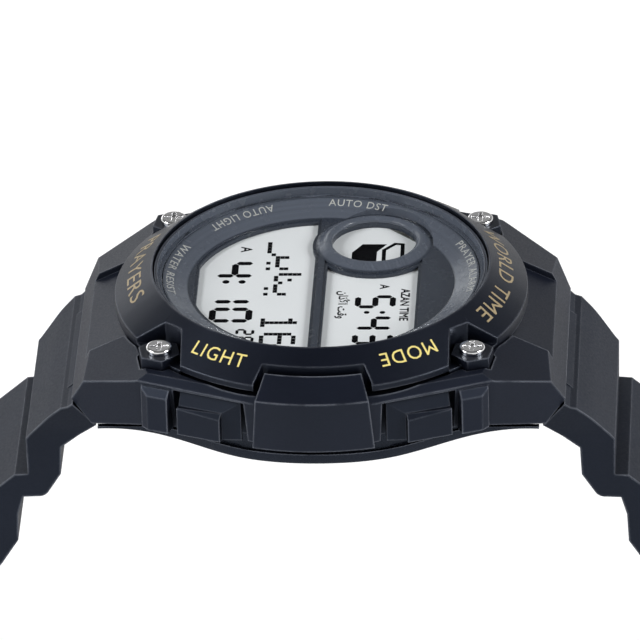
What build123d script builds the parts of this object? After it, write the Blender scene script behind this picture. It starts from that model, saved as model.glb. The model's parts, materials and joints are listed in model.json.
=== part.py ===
from build123d import *
import os
from math import cos, degrees, radians, sin, sqrt, tan

# Digital wristwatch with a moulded strap. Millimetres.
# +Z is the dial's outward normal, +Y points to 12 o'clock, +X to 3 o'clock.
# The origin is the centre of the case back's outer face.

os.makedirs("parts", exist_ok=True)

# ---------------------------------------------------------------- driving dimensions
SEAT_GAP = 0.02            # nested round parts that are clamped or glued together
RUN_GAP = 0.05             # radial clearance of a shaft that moves in its bore
SLIDE_GAP = 0.15           # clearance beside moulded parts that are screwed down
CUT = 1.0                  # how far a cutting tool runs past the face it opens
MERGE = 0.1                # how deep an added feature starts inside its body

# Crystal and its seat
CRYSTAL_R = 17.4
CRYSTAL_TOP_Z = 13.9
CRYSTAL_THICK = 1.2
CRYSTAL_BEVEL = 0.35
CRYSTAL_LEDGE = 0.45       # width of the ledge that the crystal rests on
GASKET_WALL = 0.2
NECK_WALL = 0.15           # rim of the inner case round the gasket
GASKET_R = CRYSTAL_R + GASKET_WALL
NECK_R = GASKET_R + NECK_WALL

# Bezel
RIM_Z = 14.0               # inner edge of the bezel, the highest point of the head
BEZEL_INNER_R = NECK_R + SLIDE_GAP
BEZEL_WIDTH = 4.1
BEZEL_OUTER_R = BEZEL_INNER_R + BEZEL_WIDTH
BEZEL_DROP = 2.9           # fall of the cone from the inner to the outer edge
BEZEL_WALL = 1.35          # height of the wall below the outer edge
BEZEL_LIP = 0.15           # flat at the inner edge
NOTCH_DEPTH = 2.1          # the bezel is this much narrower at the guards
NOTCH_R = BEZEL_OUTER_R - NOTCH_DEPTH
NOTCH_HALF = 5.4           # half width of that notch at its root
NOTCH_FLARE = 0.8          # how much wider the notch is at the bezel's edge
NOTCH_FLANK_IN = 1.5       # the flanks run from this far inside the notch's arc
NOTCH_FLANK_OUT = 0.9      # to this far outside it
NOTCH_CORNER = 0.5
TAB_UNDERCUT = 0.65        # the bezel's wall is this much shorter over the buttons
TAB_UNDERCUT_DEPTH = 1.6
TAB_UNDERCUT_R = BEZEL_OUTER_R - TAB_UNDERCUT_DEPTH

# Bezel screws
SCREW_INSET = 0.4          # screw axes inside the bezel's outer edge
SCREW_ANGLE = 49.845       # degrees from the 3 o'clock axis
SCREW_X = (BEZEL_OUTER_R - SCREW_INSET) * cos(radians(SCREW_ANGLE))
SCREW_Y = (BEZEL_OUTER_R - SCREW_INSET) * sin(radians(SCREW_ANGLE))
SCREW_HEAD_R = 1.38
SCREW_HEAD_H = 0.6
SCREW_SHANK_R = 0.65
SCREW_LENGTH = 5.0
SCREW_TOP_Z = 11.86
POCKET_REACH_X = 2.93      # from the screw's axis to the walls of its corner pocket
POCKET_REACH_Y = 2.36
POCKET_X = SCREW_X - POCKET_REACH_X
POCKET_Y = SCREW_Y - POCKET_REACH_Y
POCKET_CORNER = 1.8        # facet across the pocket's inner corner
POCKET_FLOOR_Z = 10.5
PILLAR_APOTHEM = 2.05      # faceted pillar under the screw head
RECESS_SLOT = 0.45         # cross recess in a screw head
RECESS_DEPTH = 0.3
RECESS_LAND = 0.4          # between the end of the cross and the head's edge
SCREW_HEAD_ROUND = 0.2

# Inner case
BARREL_STEP = 1.25         # from the crystal's neck out to the barrel
BARREL_R = NECK_R + BARREL_STEP
BARREL_TOP_Z = 9.5
BAND_STEP = 1.0
BAND_R = BARREL_R + BAND_STEP  # band that shows below the shell
BAND_BOTTOM_Z = 1.2
BAND_TOP_Z = 4.1
BAND_EDGE_R = 0.45
CAVITY_R = CRYSTAL_R - CRYSTAL_LEDGE
BACK_SEAL_INSET = 0.5      # seal groove outside the cavity
BACK_GROOVE_R = CAVITY_R + BACK_SEAL_INSET
BACK_SEAL_WIRE = 0.5
CLIP_SEAT_GAP = 0.25       # room round a button clip

# Case back
BACK_RIM = 0.5             # from the seal's circle to the plate's edge
BACK_R = BACK_GROOVE_R + BACK_RIM
BACK_TAB_HALF = 9.2        # half width of the screw tabs toward the lugs
BACK_TAB_INSET = 0.1
BACK_TAB_R = BAND_R - BACK_TAB_INSET
BACK_SCREW_X = 7.2
BACK_SCREW_INSET = 2.3     # screw axes inside the tabs' ends
BACK_SCREW_Y = BACK_TAB_R - BACK_SCREW_INSET
BACK_SCREW_HEAD_R = 1.2
BACK_SCREW_HEAD_H = 0.6
BACK_SCREW_SHANK_R = 0.6
BACK_SCREW_LENGTH = 3.6
BACK_LIP_GAP = 0.3
BACK_LIP_R = CAVITY_R - BACK_LIP_GAP
BACK_LIP_WALL = 0.6
BACK_LIP_H = 0.7
BACK_EDGE = 0.3            # bevel round the outer face
BACK_SCREW_SUNK = 0.05     # screw heads below the outer face

# Outer case shell
SHELL_PLAN_Z = 10.4        # height at which the plan outline below holds
SHELL_DRAFT = 10.0         # degrees that the sides lean in toward the wrist
SIDE_STEP = 0.3
SIDE_X = BEZEL_OUTER_R + SIDE_STEP  # button wall at the guard
SIDE_Y = 6.2
CORNER_A_IN = 4.95         # button wall meets the corner facet: inside the side wall
CORNER_A_X = SIDE_X - CORNER_A_IN
CORNER_A_BACK = 2.8        # the same corner inside the bezel's circle, along the strap
CORNER_A_Y = BEZEL_OUTER_R - CORNER_A_BACK
CORNER_B_IN = 7.9          # corner facet meets the lug facet
CORNER_B_X = BEZEL_OUTER_R - CORNER_B_IN
CORNER_B_OUT = 2.6
CORNER_B_Y = BEZEL_OUTER_R + CORNER_B_OUT
LUG_REACH = 4.2            # the lug's end beyond the bezel
LUG_TOP_Y = BEZEL_OUTER_R + LUG_REACH
LUG_TOP_Z = 4.2            # upper edge of the lug's end face
LUG_TAPER = 2.7            # the lug facet runs on to here, past the lug's end
LUG_SPARE = 2.8
RIDGE_Z = 10.2             # top of the side walls
DECK_Z = 9.6               # floor under the bezel
DECK_R = BEZEL_OUTER_R + SLIDE_GAP
STRIP_DEPTH = 1.6          # bright chamfer above the lug's end
STRIP_TOP_Y = LUG_TOP_Y - STRIP_DEPTH
STRIP_TOP_Z = 7.5
SHOULDER_X = 8.27          # half width of the channel between the shoulders
SHOULDER_SET = 0.15
SHOULDER_Y = STRIP_TOP_Y + SHOULDER_SET  # reference point of the sloping shoulder
SHOULDER_Z = 7.86
SHOULDER_FALL_Y = 0.49     # slope of the shoulder toward the strap
SHOULDER_FALL_X = 0.135    # slope of the shoulder toward the side
CHANNEL_DEPTH = 0.75
STRAP_FALL = 39.5          # degrees that the strap leaves below the horizontal
LUG_BOTTOM_Z = 1.3
ARCH_RISE_X = 5.5          # length over which the underside rises
ARCH_TOP_IN = 4.8
ARCH_TOP_X = SIDE_X - ARCH_TOP_IN
ARCH_X = ARCH_TOP_X - ARCH_RISE_X
ARCH_TOP_Z = 4.25
BEVEL_FALL = 35.0          # slope of the bevel above the buttons, degrees
BEVEL_IN_X = 4.2
BEVEL_X = SIDE_X - BEVEL_IN_X
BEVEL_Y = 14.1

# Foot of the inner case: a bead on a neck, along a spline below the shell from lug to lug
FOOT_BOTTOM_Z = 1.3
BEAD_TOP_Z = 2.45
BEAD_GAP = 0.35            # below the shell's underside toward the lugs
BEAD_PROUD = 0.45          # beyond the neck
BEAD_ROUND = 0.15
NECK_GAP = 0.05
FOOT_FRONT_STEP = 0.6      # bead beyond the band at 3 o'clock
FOOT_FRONT_X = BAND_R + FOOT_FRONT_STEP
FOOT_SIDE_IN = 3.1         # inside the side wall
FOOT_SIDE_X = SIDE_X - FOOT_SIDE_IN
FOOT_SIDE_Y = 8.2
FOOT_CORNER_IN = 2.45      # inside the shell's first corner
FOOT_CORNER_X = CORNER_A_X - FOOT_CORNER_IN
FOOT_CORNER_BACK = 3.3
FOOT_CORNER_Y = CORNER_A_Y - FOOT_CORNER_BACK
FOOT_END_IN = 0.8          # inside the shell's second corner
FOOT_END_X = CORNER_B_X - FOOT_END_IN
FOOT_END_BACK = 1.2
FOOT_END_Y = CORNER_B_Y - FOOT_END_BACK
FOOT_STRAP_GAP = 0.12      # between the foot and the strap's end

# Guard between the buttons, turned about the case's axis
GUARD_ROOT_STEP = 0.4      # from the barrel
GUARD_ROOT_R = BARREL_R + GUARD_ROOT_STEP
GUARD_BACK_STEP = 0.7      # from the bezel's notch
GUARD_BACK_R = NOTCH_R + GUARD_BACK_STEP
GUARD_PROUD = 1.8          # beyond the side wall, at the top
GUARD_FRONT_R = SIDE_X + GUARD_PROUD
GUARD_FOOT_PROUD = 0.9     # and at the bottom
GUARD_FOOT_R = SIDE_X + GUARD_FOOT_PROUD
GUARD_BACK_Z = 12.0
GUARD_FRONT_Z = 10.5
GUARD_HALF = 6.0           # at the crease below the guard's top
GUARD_FOOT_HALF = 6.45
GUARD_BACK_HALF = 5.1
GUARD_LEFT_DROP = 0.7      # the guard on the left side is this much lower

# Push buttons, in a frame turned from the 3 o'clock axis: u outward, s sideways
BUTTON_TURN = 20.0
BUTTON_WALL_STEP = 0.75
BUTTON_WALL_U = SIDE_X + BUTTON_WALL_STEP
BUTTON_S = 3.5
BUTTON_W = 6.9
BUTTON_TOP_Z = 9.0
BUTTON_BOTTOM_Z = 4.3
CAP_THICK = 0.85
CAP_SUNK = 0.3             # the cap's face inside the button wall
BUTTON_FACE_U = BUTTON_WALL_U - CAP_SUNK
BUTTON_BACK_U = BUTTON_FACE_U - CAP_THICK
PAD_PROUD = 0.6
PAD_START_S = 2.05
PAD_DROP = 1.5             # the pad's upper edge below the top of the cap
PAD_EDGE_DROP = 0.1        # the bevel above the pad's face starts this far down
PAD_LEAN = 0.09            # and falls toward the guard
PAD_BEVEL_RISE = 0.9       # steepness of the bevels, as rise over run
CAP_CROWN_RISE = 0.45
CAP_SIDE_LEAN = 0.3
RECESS_SIDE = 0.6
RECESS_TOP = 0.25
RECESS_DEPTH_U = 2.45
RECESS_FLOOR_U = BUTTON_WALL_U - RECESS_DEPTH_U
BUTTON_TRAVEL = 0.9
STEM_R = 0.9
CONTACT_INSET = 3.05
CONTACT_U = CAVITY_R - CONTACT_INSET  # side contacts that the stems press
CONTACT_GAP = 0.1          # left between stem and contact at full travel
STEM_END_U = CONTACT_U + BUTTON_TRAVEL + CONTACT_GAP
SPRING_R = 1.35
SPRING_WIRE_R = 0.15
SPRING_TURNS = 5
SPRING_WELL_R = 1.75
SPRING_SEAT_DEPTH = 0.6
SPRING_SEAT_U = BARREL_R - SPRING_SEAT_DEPTH
SEAL_INSET = 0.7
SEAL_U = CAVITY_R + SEAL_INSET
SEAL_WIRE_R = 0.2
CLIP_INSET = 1.1
CLIP_U = CAVITY_R - CLIP_INSET
CLIP_R = 1.5
CLIP_THICK = 0.3
CLIP_MOUTH = 0.8           # opening of the clip
CLIP_NECK = 0.3            # depth of the stem's groove for the clip
STEM_HOLD = 0.5            # how deep the stem sits in the cap
SPRING_HOLD = 0.3          # how deep the spring sits in the cap
SPRING_SIDE_GAP = 0.1
BLOCK_S = 7.95             # raised block beside the button
BLOCK_W = 3.2
BLOCK_PROUD = 0.45
BLOCK_TOP_Z = 9.15
BLOCK_BEVEL = 0.7          # the top bevel starts this far behind the block's face
BLOCK_BEVEL_RISE = 0.9
BLOCK_END_CUT = 0.9        # bevel at the block's far end
BLOCK_END_LEAN = 0.6

# Display stack
MASK_GAP = 0.1
MASK_R = CAVITY_R - MASK_GAP
MASK_TOP_Z = 11.5
FLANGE_W = 2.65
FLANGE_R = MASK_R - FLANGE_W  # the mask rises from here to its edge
FLANGE_TOP_Z = 12.6
FLANGE_LAND = 0.2          # flat at the top of the rise
WINDOW_RIM = 0.4
WINDOW_R = FLANGE_R - WINDOW_RIM
WINDOW_LOW_Y = -13.15
BAR_LOW_Y = -0.9           # the bar between the windows
BAR_HIGH_Y = 0.5
WINDOW_HIGH_Y = 10.2
WINDOW_BEVEL = 0.35
ROUND_X = -8.7
ROUND_Y = 5.3
ROUND_R = 4.55
ROUND_RING_R = 6.3
ROUND_RING_TOP_Z = 12.1
ROUND_RING_LAND = 0.35     # from the window to the ring's crest
ROUND_RING_LIP = 0.25      # the ring's inner edge lies this far below the crest
ROUND_RING_GAP = 0.3       # windows keep this far from the round ring
LCD_HALF_X = 14.2
LCD_HALF_Y = 13.9
LCD_CORNER = 20.2          # |x| + |y| along the cut corners
POLARISER_THICK = 0.16
POLARISER_INSET = 0.3
LCD_SEAT_GAP = 0.1
LCD_TOP_Z = 10.72
LCD_THICK = 1.22
LCD_BOTTOM_Z = LCD_TOP_Z - LCD_THICK
MASK_LIFT = 0.02           # the mask lies this far above the polariser
MASK_BOTTOM_Z = LCD_TOP_Z + POLARISER_THICK + MASK_LIFT
GUIDE_HALF_X = 12.6
GUIDE_HALF_Y = 12.3
GUIDE_THICK = 1.1
GUIDE_BOTTOM_Z = LCD_BOTTOM_Z - GUIDE_THICK
GUIDE_CORNER = 4.2

# Module
BOARD_TOP_Z = 7.0
BOARD_THICK = 0.8
FRAME_GAP = 0.2
FRAME_R = CAVITY_R - FRAME_GAP
BOARD_INSET = 1.6
BOARD_R = FRAME_R - BOARD_INSET
FRAME_BOTTOM_Z = 5.4
FRAME_OPEN_X = 13.0
FRAME_OPEN_Y = 14.0
FRAME_RIM = 1.0
FRAME_OPEN_R = FRAME_R - FRAME_RIM
STEM_POCKET_GAP = 0.5
BOARD_GAP = 0.1            # round the board's edge
BOARD_COVER = 0.2          # the frame's shelf above the board
STRIP_LENGTH = 11.6        # rubber connector strips
STRIP_WIDTH = 1.2
STRIP_Y = 13.2
CONTACT_THICK = 0.15
CONTACT_W = 2.2
CONTACT_FOOT = 1.2
CONTACT_TOP_Z = GUIDE_BOTTOM_Z - CONTACT_GAP
CHIP_R = 3.2
CHIP_H = 1.1
CHIP_X = -3.0
CHIP_ROUND = 0.8
BATTERY_R = 10.0
BATTERY_H = 3.2
BATTERY_X = -1.5
BATTERY_GAP = 0.3          # between the board and the cell
CELL_ROUND = 0.3
CELL_STEP = 0.35           # height of the cell's smaller cap
CELL_RIM = 1.0
CONTACT_PLATE_X = 6.0      # spring plate on the cell's cap
CONTACT_PLATE_Y = 4.0
CLAMP_THICK = 0.2
CLAMP_W = 4.0
CLAMP_REACH = 0.3          # the clamp's legs stand this far off the cell
QUARTZ_R = 1.0
QUARTZ_L = 6.0
QUARTZ_X = 11.6
COIL_R = 1.7
COIL_H = 2.2
COIL_X = 11.2
COIL_Y = 5.0
LAMP_X = 12.7              # inner face of the backlight lamp
LAMP_DEPTH = 1.2
LAMP_W = 2.0
LAMP_GAP = 0.3
LAMP_TOP_Z = LCD_BOTTOM_Z - LAMP_GAP
SHEET_Z = 2.0
SHEET_THICK = 0.15
SHEET_OVERLAP = 0.4
SHEET_R = BOARD_R + SHEET_OVERLAP
BUZZER_R = 12.8
BUZZER_THICK = 0.25
BUZZER_SPRING_R = 0.7
BUZZER_SPRING_X = 9.6
BUZZER_SPRING_Y = 7.0
BUZZER_WIRE_R = 0.12
BUZZER_TURNS = 6
BUZZER_HOLE_GAP = 0.5

# Strap ends and spring bars
STRAP_THICK = 4.4          # at the case
END_GAP = 0.1              # between strap and lug at the outside
END_RELIEF = 0.42          # the same gap at the wrist side
BAR_DEPTH = 2.0            # spring bar behind the lug's end face
BAR_DOWN = 1.8             # and below the lug's upper edge, along that face
TONGUE_R = 1.5
TONGUE_HALF = 7.9
TONGUE_SIDE_GAP = 0.2
TONGUE_GAP = 0.2
SWING = 8.0                # degrees that a strap half can fold in
SWING_SPARE = 2.0          # degrees of room past that
BAR_R = 0.75
BAR_TIP_R = 0.45
BAR_TIP_REACH = 1.25

# Strap band
BAND_THICK = 2.6
STRAP_HALF_CASE = 12.46
CASE_STEP = 1.86           # the strap is this much narrower on each side at the first link
STRAP_HALF_LINK = STRAP_HALF_CASE - CASE_STEP
LINK_STEP = 0.6
STRAP_HALF = STRAP_HALF_LINK - LINK_STEP
FIRST_WIDTH_Z = -1.0       # heights at which the strap narrows
SECOND_WIDTH_Z = -9.0
PLAIN_WIDTH_Z = -17.0
LINK_NARROWING = 0.3       # second link, each side
STEP_LENGTH = 0.9          # shallow step across the strap's end, beside the lug
STEP_FLARE = 0.9           # length of its sloping side
STEP_DEPTH = 0.4
LINK_OUT = 4.9             # from one link to the next, outward
LINK_DOWN = 8.4            # and down
LINK_RISE = 0.9            # the second link's outer side stands this much higher
# Points of a link's side profile: outward and down from the lug's upper edge.
CREST_OUT = 2.6            # middle of the curved end panel
CREST_DOWN = 2.45
CREST_ROUND = 12.0
TOP_OUT = 5.15             # outer face, upper edge
TOP_DOWN = 5.7
FACE_OUT = 5.1             # outer face, lower edge
FACE_DOWN = 10.1
NECK_OUT = 6.5             # neck to the next link, outer side
NECK_DOWN = 10.2
INNER_OUT = 1.4            # wrist side, upper edge
INNER_DOWN = 6.75
WRIST_OUT = 1.55           # wrist side, lower edge
WRIST_DOWN = 10.1
HEEL_OUT = 3.3             # foot of the wrist side
HEEL_DOWN = 12.9
HEEL_ROUND = 1.2
THROAT_OUT = 5.7           # neck to the next link, wrist side
THROAT_DOWN = 13.0
BAND_OUT = 11.1            # outer surface where the plain band begins
BAND_DOWN = 21.1
BAND_HEADING = 72.0        # degrees below the horizontal
FLOOR_HEADING = 180.0      # the strap lies flat on the floor
SIDE_BEND_R = 70.0
SIDE_BEND_END = 92.0
FLOOR_BEND_R = 14.0
SHORT_RUN = 6.0            # straight end that carries the buckle
TAIL_BEND_R = 45.0
TAIL_TURN = 44.0
TAIL_CORNER = 5.5
HOLE_COUNT = 10
HOLE_PITCH = 5.2
HOLE_FIRST = 4.5           # from the tip of the tail
HOLE_L = 2.2
HOLE_W = 3.6
HOLE_ROUND = 0.7

# Buckle
PIN_R = 0.75
PIN_FROM_END = 1.7         # pin axis inside the strap's end
EAR_SLOT_HALF = 1.6
HUB_R = 1.3
HUB_GAP = 1.1              # room behind the hub for the prong to swing
PRONG_HALF = 1.1
PRONG_THICK = 1.0
FRAME_SIDE_GAP = 0.35
ARM_W = 2.0
BUCKLE_REACH = 12.0        # pin axis to the far side of the front bar
BUCKLE_BAR = 2.4
BUCKLE_THICK = 2.4
BUCKLE_EAR = 1.4           # the arms run this far past the pin
BUCKLE_CORNER_R = 2.5
BUCKLE_EDGE = 0.4
PRONG_SIDE_GAP = 0.2
PRONG_DROP = 0.1           # the prong lies this far above the frame's outer face
PIN_INSET = 0.5            # blind end of the pin's bore inside the arm
PRONG_SHORT = 0.2          # the prong ends inside the front bar's edge

# Keeper
KEEPER_W = 6.0
KEEPER_WALL = 1.3
KEEPER_GAP = 0.3
KEEPER_SPARE = 2.9         # room for the tail above the band
KEEPER_HEADING = 88.5
KEEPER_ROUND = 1.2

BIG = 80.0                 # larger than the watch, for cutting tools


# ---------------------------------------------------------------- shared helpers
def disc(r, z0, z1, x=0.0, y=0.0):
    return Pos(x, y, z0) * Cylinder(r, z1 - z0, align=(Align.CENTER, Align.CENTER, Align.MIN))


def tube(r_out, r_in, z0, z1):
    return disc(r_out, z0, z1) - disc(r_in, z0 - CUT, z1 + CUT)


def block(x0, x1, y0, y1, z0, z1):
    return Pos(x0, y0, z0) * Box(x1 - x0, y1 - y0, z1 - z0, align=(Align.MIN, Align.MIN, Align.MIN))


def turned(points):
    """Solid of revolution about Z from (radius, height) points."""
    return revolve(Plane.XZ * make_face(Polyline(*points, close=True)), Axis.Z)


def prism(points, z0, z1):
    return Pos(0, 0, z0) * extrude(make_face(Polyline(*points, close=True)), amount=z1 - z0)


def side_prism(points, half):
    """Prism along X from (y, z) points, from -half to +half."""
    face = Plane.YZ * make_face(Polyline(*points, close=True))
    return extrude(face, amount=half, both=True)


def front_prism(points, y0, y1):
    """Prism along Y from (x, z) points."""
    plane = Plane(origin=(0, y0, 0), x_dir=(1, 0, 0), z_dir=(0, -1, 0))
    return extrude(plane * make_face(Polyline(*points, close=True)), amount=-(y1 - y0))


def above(point, normal):
    """Large block on the side of a plane that its normal points to."""
    tool = Box(2 * BIG, 2 * BIG, BIG, align=(Align.CENTER, Align.CENTER, Align.MIN))
    return Plane(origin=point, z_dir=normal) * tool


def four_corners(shape):
    """Copies of a shape in all four quadrants of the plan."""
    right = [shape, mirror(shape, about=Plane.XZ)]
    return right + [mirror(s, about=Plane.YZ) for s in right]


def both_ends(shape):
    return [shape, mirror(shape, about=Plane.XZ)]


def save(shape, name):
    export_step(shape, f"parts/{name}.step")


def solids_of(shape):
    return shape.solids() if hasattr(shape, "solids") else [shape]


def group(shapes):
    return Compound(children=[s for shape in shapes for s in solids_of(shape)])


# ---------------------------------------------------------------- bezel
BEZEL_EDGE_Z = RIM_Z - BEZEL_DROP
BEZEL_BOTTOM_Z = BEZEL_EDGE_Z - BEZEL_WALL
SCREW_SEAT_Z = SCREW_TOP_Z - SCREW_HEAD_H


def pillar(apothem, z0, z1):
    """Hexagonal pillar round a bezel screw, one flat facing outward."""
    shape = RegularPolygon(radius=apothem, side_count=6, major_radius=False, rotation=SCREW_ANGLE)
    return Pos(SCREW_X, SCREW_Y, z0) * extrude(shape, amount=z1 - z0)


def bezel_ring():
    ring = turned([
        (BEZEL_INNER_R, BEZEL_BOTTOM_Z), (BEZEL_OUTER_R, BEZEL_BOTTOM_Z), (BEZEL_OUTER_R, BEZEL_EDGE_Z),
        (BEZEL_INNER_R + BEZEL_LIP, RIM_Z), (BEZEL_INNER_R, RIM_Z)])
    flare = NOTCH_HALF + NOTCH_FLARE
    root = (NOTCH_R - NOTCH_FLANK_IN, NOTCH_HALF - NOTCH_CORNER)
    edge = (NOTCH_R + NOTCH_FLANK_OUT, flare)
    flank = [root, edge, (BIG, flare)]
    notch_plan = flank + [(x, -y) for x, y in flank[::-1]]
    notch = prism(notch_plan, BEZEL_BOTTOM_Z - CUT, RIM_Z) - disc(NOTCH_R, 0, RIM_Z + CUT)
    undercut = block(0, BIG, -POCKET_Y, POCKET_Y, BEZEL_BOTTOM_Z - CUT, BEZEL_BOTTOM_Z + TAB_UNDERCUT)
    undercut -= disc(TAB_UNDERCUT_R, 0, RIM_Z)
    for cut in (notch, undercut):
        ring -= cut
        ring -= mirror(cut, about=Plane.YZ)
    window = block(POCKET_X, BIG, POCKET_Y, BIG, POCKET_FLOOR_Z, RIM_Z + CUT)
    corner = window.edges().filter_by(Axis.Z).sort_by(Axis.X)[0:2].sort_by(Axis.Y)[0]
    window = chamfer(corner, POCKET_CORNER)
    post = pillar(PILLAR_APOTHEM, BEZEL_BOTTOM_Z, SCREW_SEAT_Z)
    bore = disc(SCREW_SHANK_R + SEAT_GAP, 0, RIM_Z, SCREW_X, SCREW_Y)
    for cut, add, hole in zip(four_corners(window), four_corners(post), four_corners(bore)):
        ring = ring - cut + add - hole
    return ring


def bezel_screw():
    head = disc(SCREW_HEAD_R, SCREW_SEAT_Z, SCREW_TOP_Z)
    head = fillet(head.edges().group_by(Axis.Z)[-1], SCREW_HEAD_ROUND)
    shank = disc(SCREW_SHANK_R, SCREW_SEAT_Z - SCREW_LENGTH, SCREW_SEAT_Z)
    arm = SCREW_HEAD_R - RECESS_LAND
    low = SCREW_TOP_Z - RECESS_DEPTH
    slot = block(-arm, arm, -RECESS_SLOT / 2, RECESS_SLOT / 2, low, SCREW_TOP_Z + CUT)
    return Pos(SCREW_X, SCREW_Y, 0) * (head + shank - slot - Rot(0, 0, 90) * slot)


# ---------------------------------------------------------------- crystal and inner case
CRYSTAL_BOTTOM_Z = CRYSTAL_TOP_Z - CRYSTAL_THICK
NECK_TOP_Z = CRYSTAL_TOP_Z - CRYSTAL_BEVEL


def crystal():
    body = disc(CRYSTAL_R - SEAT_GAP, CRYSTAL_BOTTOM_Z, CRYSTAL_TOP_Z)
    return chamfer(body.edges().group_by(Axis.Z)[-1], CRYSTAL_BEVEL)


def crystal_gasket():
    return tube(GASKET_R - SEAT_GAP, CRYSTAL_R, CRYSTAL_BOTTOM_Z, NECK_TOP_Z)


BUTTON_MID_Z = (BUTTON_TOP_Z + BUTTON_BOTTOM_Z) / 2


def button_frame():
    """Outward and sideways directions of the button in the +X +Y quadrant."""
    turn = radians(BUTTON_TURN)
    return Vector(cos(turn), sin(turn), 0), Vector(-sin(turn), cos(turn), 0)


def along_button(r, u0, u1):
    """Cylinder along the first button's axis."""
    out, across = button_frame()
    foot = out * u0 + across * BUTTON_S + Vector(0, 0, BUTTON_MID_Z)
    rod = Cylinder(r, u1 - u0, align=(Align.CENTER, Align.CENTER, Align.MIN))
    return Plane(origin=foot, z_dir=out) * rod


def button_box(u0, u1, s0, s1, z0, z1):
    """Box in the first button's frame."""
    out = button_frame()[0]
    plane = Plane(origin=(0, 0, 0), x_dir=out, z_dir=(0, 0, 1))
    return plane * block(u0, u1, s0, s1, z0, z1)


def inner_case():
    body = turned([
        (CAVITY_R, BAND_BOTTOM_Z), (BAND_R, BAND_BOTTOM_Z), (BAND_R, BAND_TOP_Z), (BARREL_R, BAND_TOP_Z),
        (BARREL_R, BARREL_TOP_Z), (NECK_R, BARREL_TOP_Z), (NECK_R, NECK_TOP_Z), (GASKET_R, NECK_TOP_Z),
        (GASKET_R, CRYSTAL_BOTTOM_Z), (CAVITY_R, CRYSTAL_BOTTOM_Z)])
    bottom_edge = body.edges().filter_by(GeomType.CIRCLE).group_by(Axis.Z)[0].sort_by(SortBy.RADIUS)[-1]
    body = fillet(bottom_edge, BAND_EDGE_R)
    half = BACK_SEAL_WIRE / 2
    groove_top = BAND_BOTTOM_Z + BACK_SEAL_WIRE
    body -= tube(BACK_GROOVE_R + half, BACK_GROOVE_R - half, BAND_BOTTOM_Z - CUT, groove_top)
    stem_bore = along_button(STEM_R + RUN_GAP, STEM_END_U, BARREL_R + CUT)
    spring_seat = along_button(SPRING_WELL_R, SPRING_SEAT_U, BARREL_R + CUT)
    clip_seat = along_button(CLIP_R + CLIP_SEAT_GAP, STEM_END_U, CLIP_U + CLIP_THICK + MERGE)
    screw_bore = disc(BACK_SCREW_SHANK_R + SEAT_GAP, 0, BACK_SCREW_LENGTH, BACK_SCREW_X, BACK_SCREW_Y)
    for cut in (stem_bore, spring_seat, clip_seat, screw_bore):
        for copy in four_corners(cut):
            body -= copy
    return body + case_foot() + mirror(case_foot(), about=Plane.YZ)


def foot_layer(inset, top_z, gap):
    """Layer of the foot inside the bead's outline, that far below the shell's underside."""
    half = [(FOOT_END_X, FOOT_END_Y), (FOOT_CORNER_X, FOOT_CORNER_Y), (FOOT_SIDE_X, FOOT_SIDE_Y)]
    rim = half + [(FOOT_FRONT_X, 0)] + [(x, -y) for x, y in half[::-1]]
    rim = [(x - inset, y) for x, y in rim]
    inner_x = STRAP_HALF_CASE + FOOT_STRAP_GAP
    inside = [rim[-1], (inner_x, -FOOT_END_Y), (inner_x, FOOT_END_Y), rim[0]]
    plan = make_face([Spline(*rim), Polyline(*inside)])
    layer = Pos(0, 0, FOOT_BOTTOM_Z) * extrude(plan, amount=top_z - FOOT_BOTTOM_Z)
    lower_rim = layer.edges().filter_by(GeomType.BSPLINE).group_by(Axis.Z)[0]
    layer = fillet(lower_rim, BEAD_ROUND)
    low, high = LUG_BOTTOM_Z - gap, ARCH_TOP_Z - gap
    return layer & front_prism([(ARCH_X, 0), (ARCH_X, low), (ARCH_TOP_X, high), (BIG, high), (BIG, 0)],
                               -BIG, BIG)


def case_foot():
    """Foot of the inner case on one side, under the shell from lug to lug."""
    foot = foot_layer(0, BEAD_TOP_Z, BEAD_GAP) + foot_layer(BEAD_PROUD, ARCH_TOP_Z, NECK_GAP)
    return foot - disc(BARREL_R, 0, ARCH_TOP_Z)


def back_plan(r, tab_r, z0, z1):
    tabs = disc(tab_r, z0, z1) & block(-BACK_TAB_HALF, BACK_TAB_HALF, -BIG, BIG, z0, z1)
    return disc(r, z0, z1) + tabs


def case_back():
    plate = back_plan(BACK_R, BACK_TAB_R, 0, BAND_BOTTOM_Z)
    plate = chamfer(plate.edges().group_by(Axis.Z)[0], BACK_EDGE)
    lip_top = BAND_BOTTOM_Z + BACK_LIP_H
    plate += tube(BACK_LIP_R, BACK_LIP_R - BACK_LIP_WALL, BAND_BOTTOM_Z - MERGE, lip_top)
    hole = disc(BACK_SCREW_SHANK_R + SEAT_GAP, -CUT, lip_top, BACK_SCREW_X, BACK_SCREW_Y)
    sink = disc(BACK_SCREW_HEAD_R + SLIDE_GAP, -CUT, BACK_SCREW_HEAD_H, BACK_SCREW_X, BACK_SCREW_Y)
    for cut in (hole, sink):
        for copy in four_corners(cut):
            plate -= copy
    return plate


def case_back_screw():
    head = disc(BACK_SCREW_HEAD_R, BACK_SCREW_SUNK, BACK_SCREW_HEAD_H)
    shank = disc(BACK_SCREW_SHANK_R, BACK_SCREW_HEAD_H, BACK_SCREW_LENGTH)
    arm = BACK_SCREW_HEAD_R - RECESS_LAND
    slot = block(-arm, arm, -RECESS_SLOT / 2, RECESS_SLOT / 2, 0, RECESS_DEPTH)
    return Pos(BACK_SCREW_X, BACK_SCREW_Y, 0) * (head + shank - slot - Rot(0, 0, 90) * slot)


def case_back_gasket():
    wire = BACK_SEAL_WIRE / 2 - SEAT_GAP
    return Pos(0, 0, BAND_BOTTOM_Z + BACK_SEAL_WIRE / 2) * Torus(BACK_GROOVE_R, wire)


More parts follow.
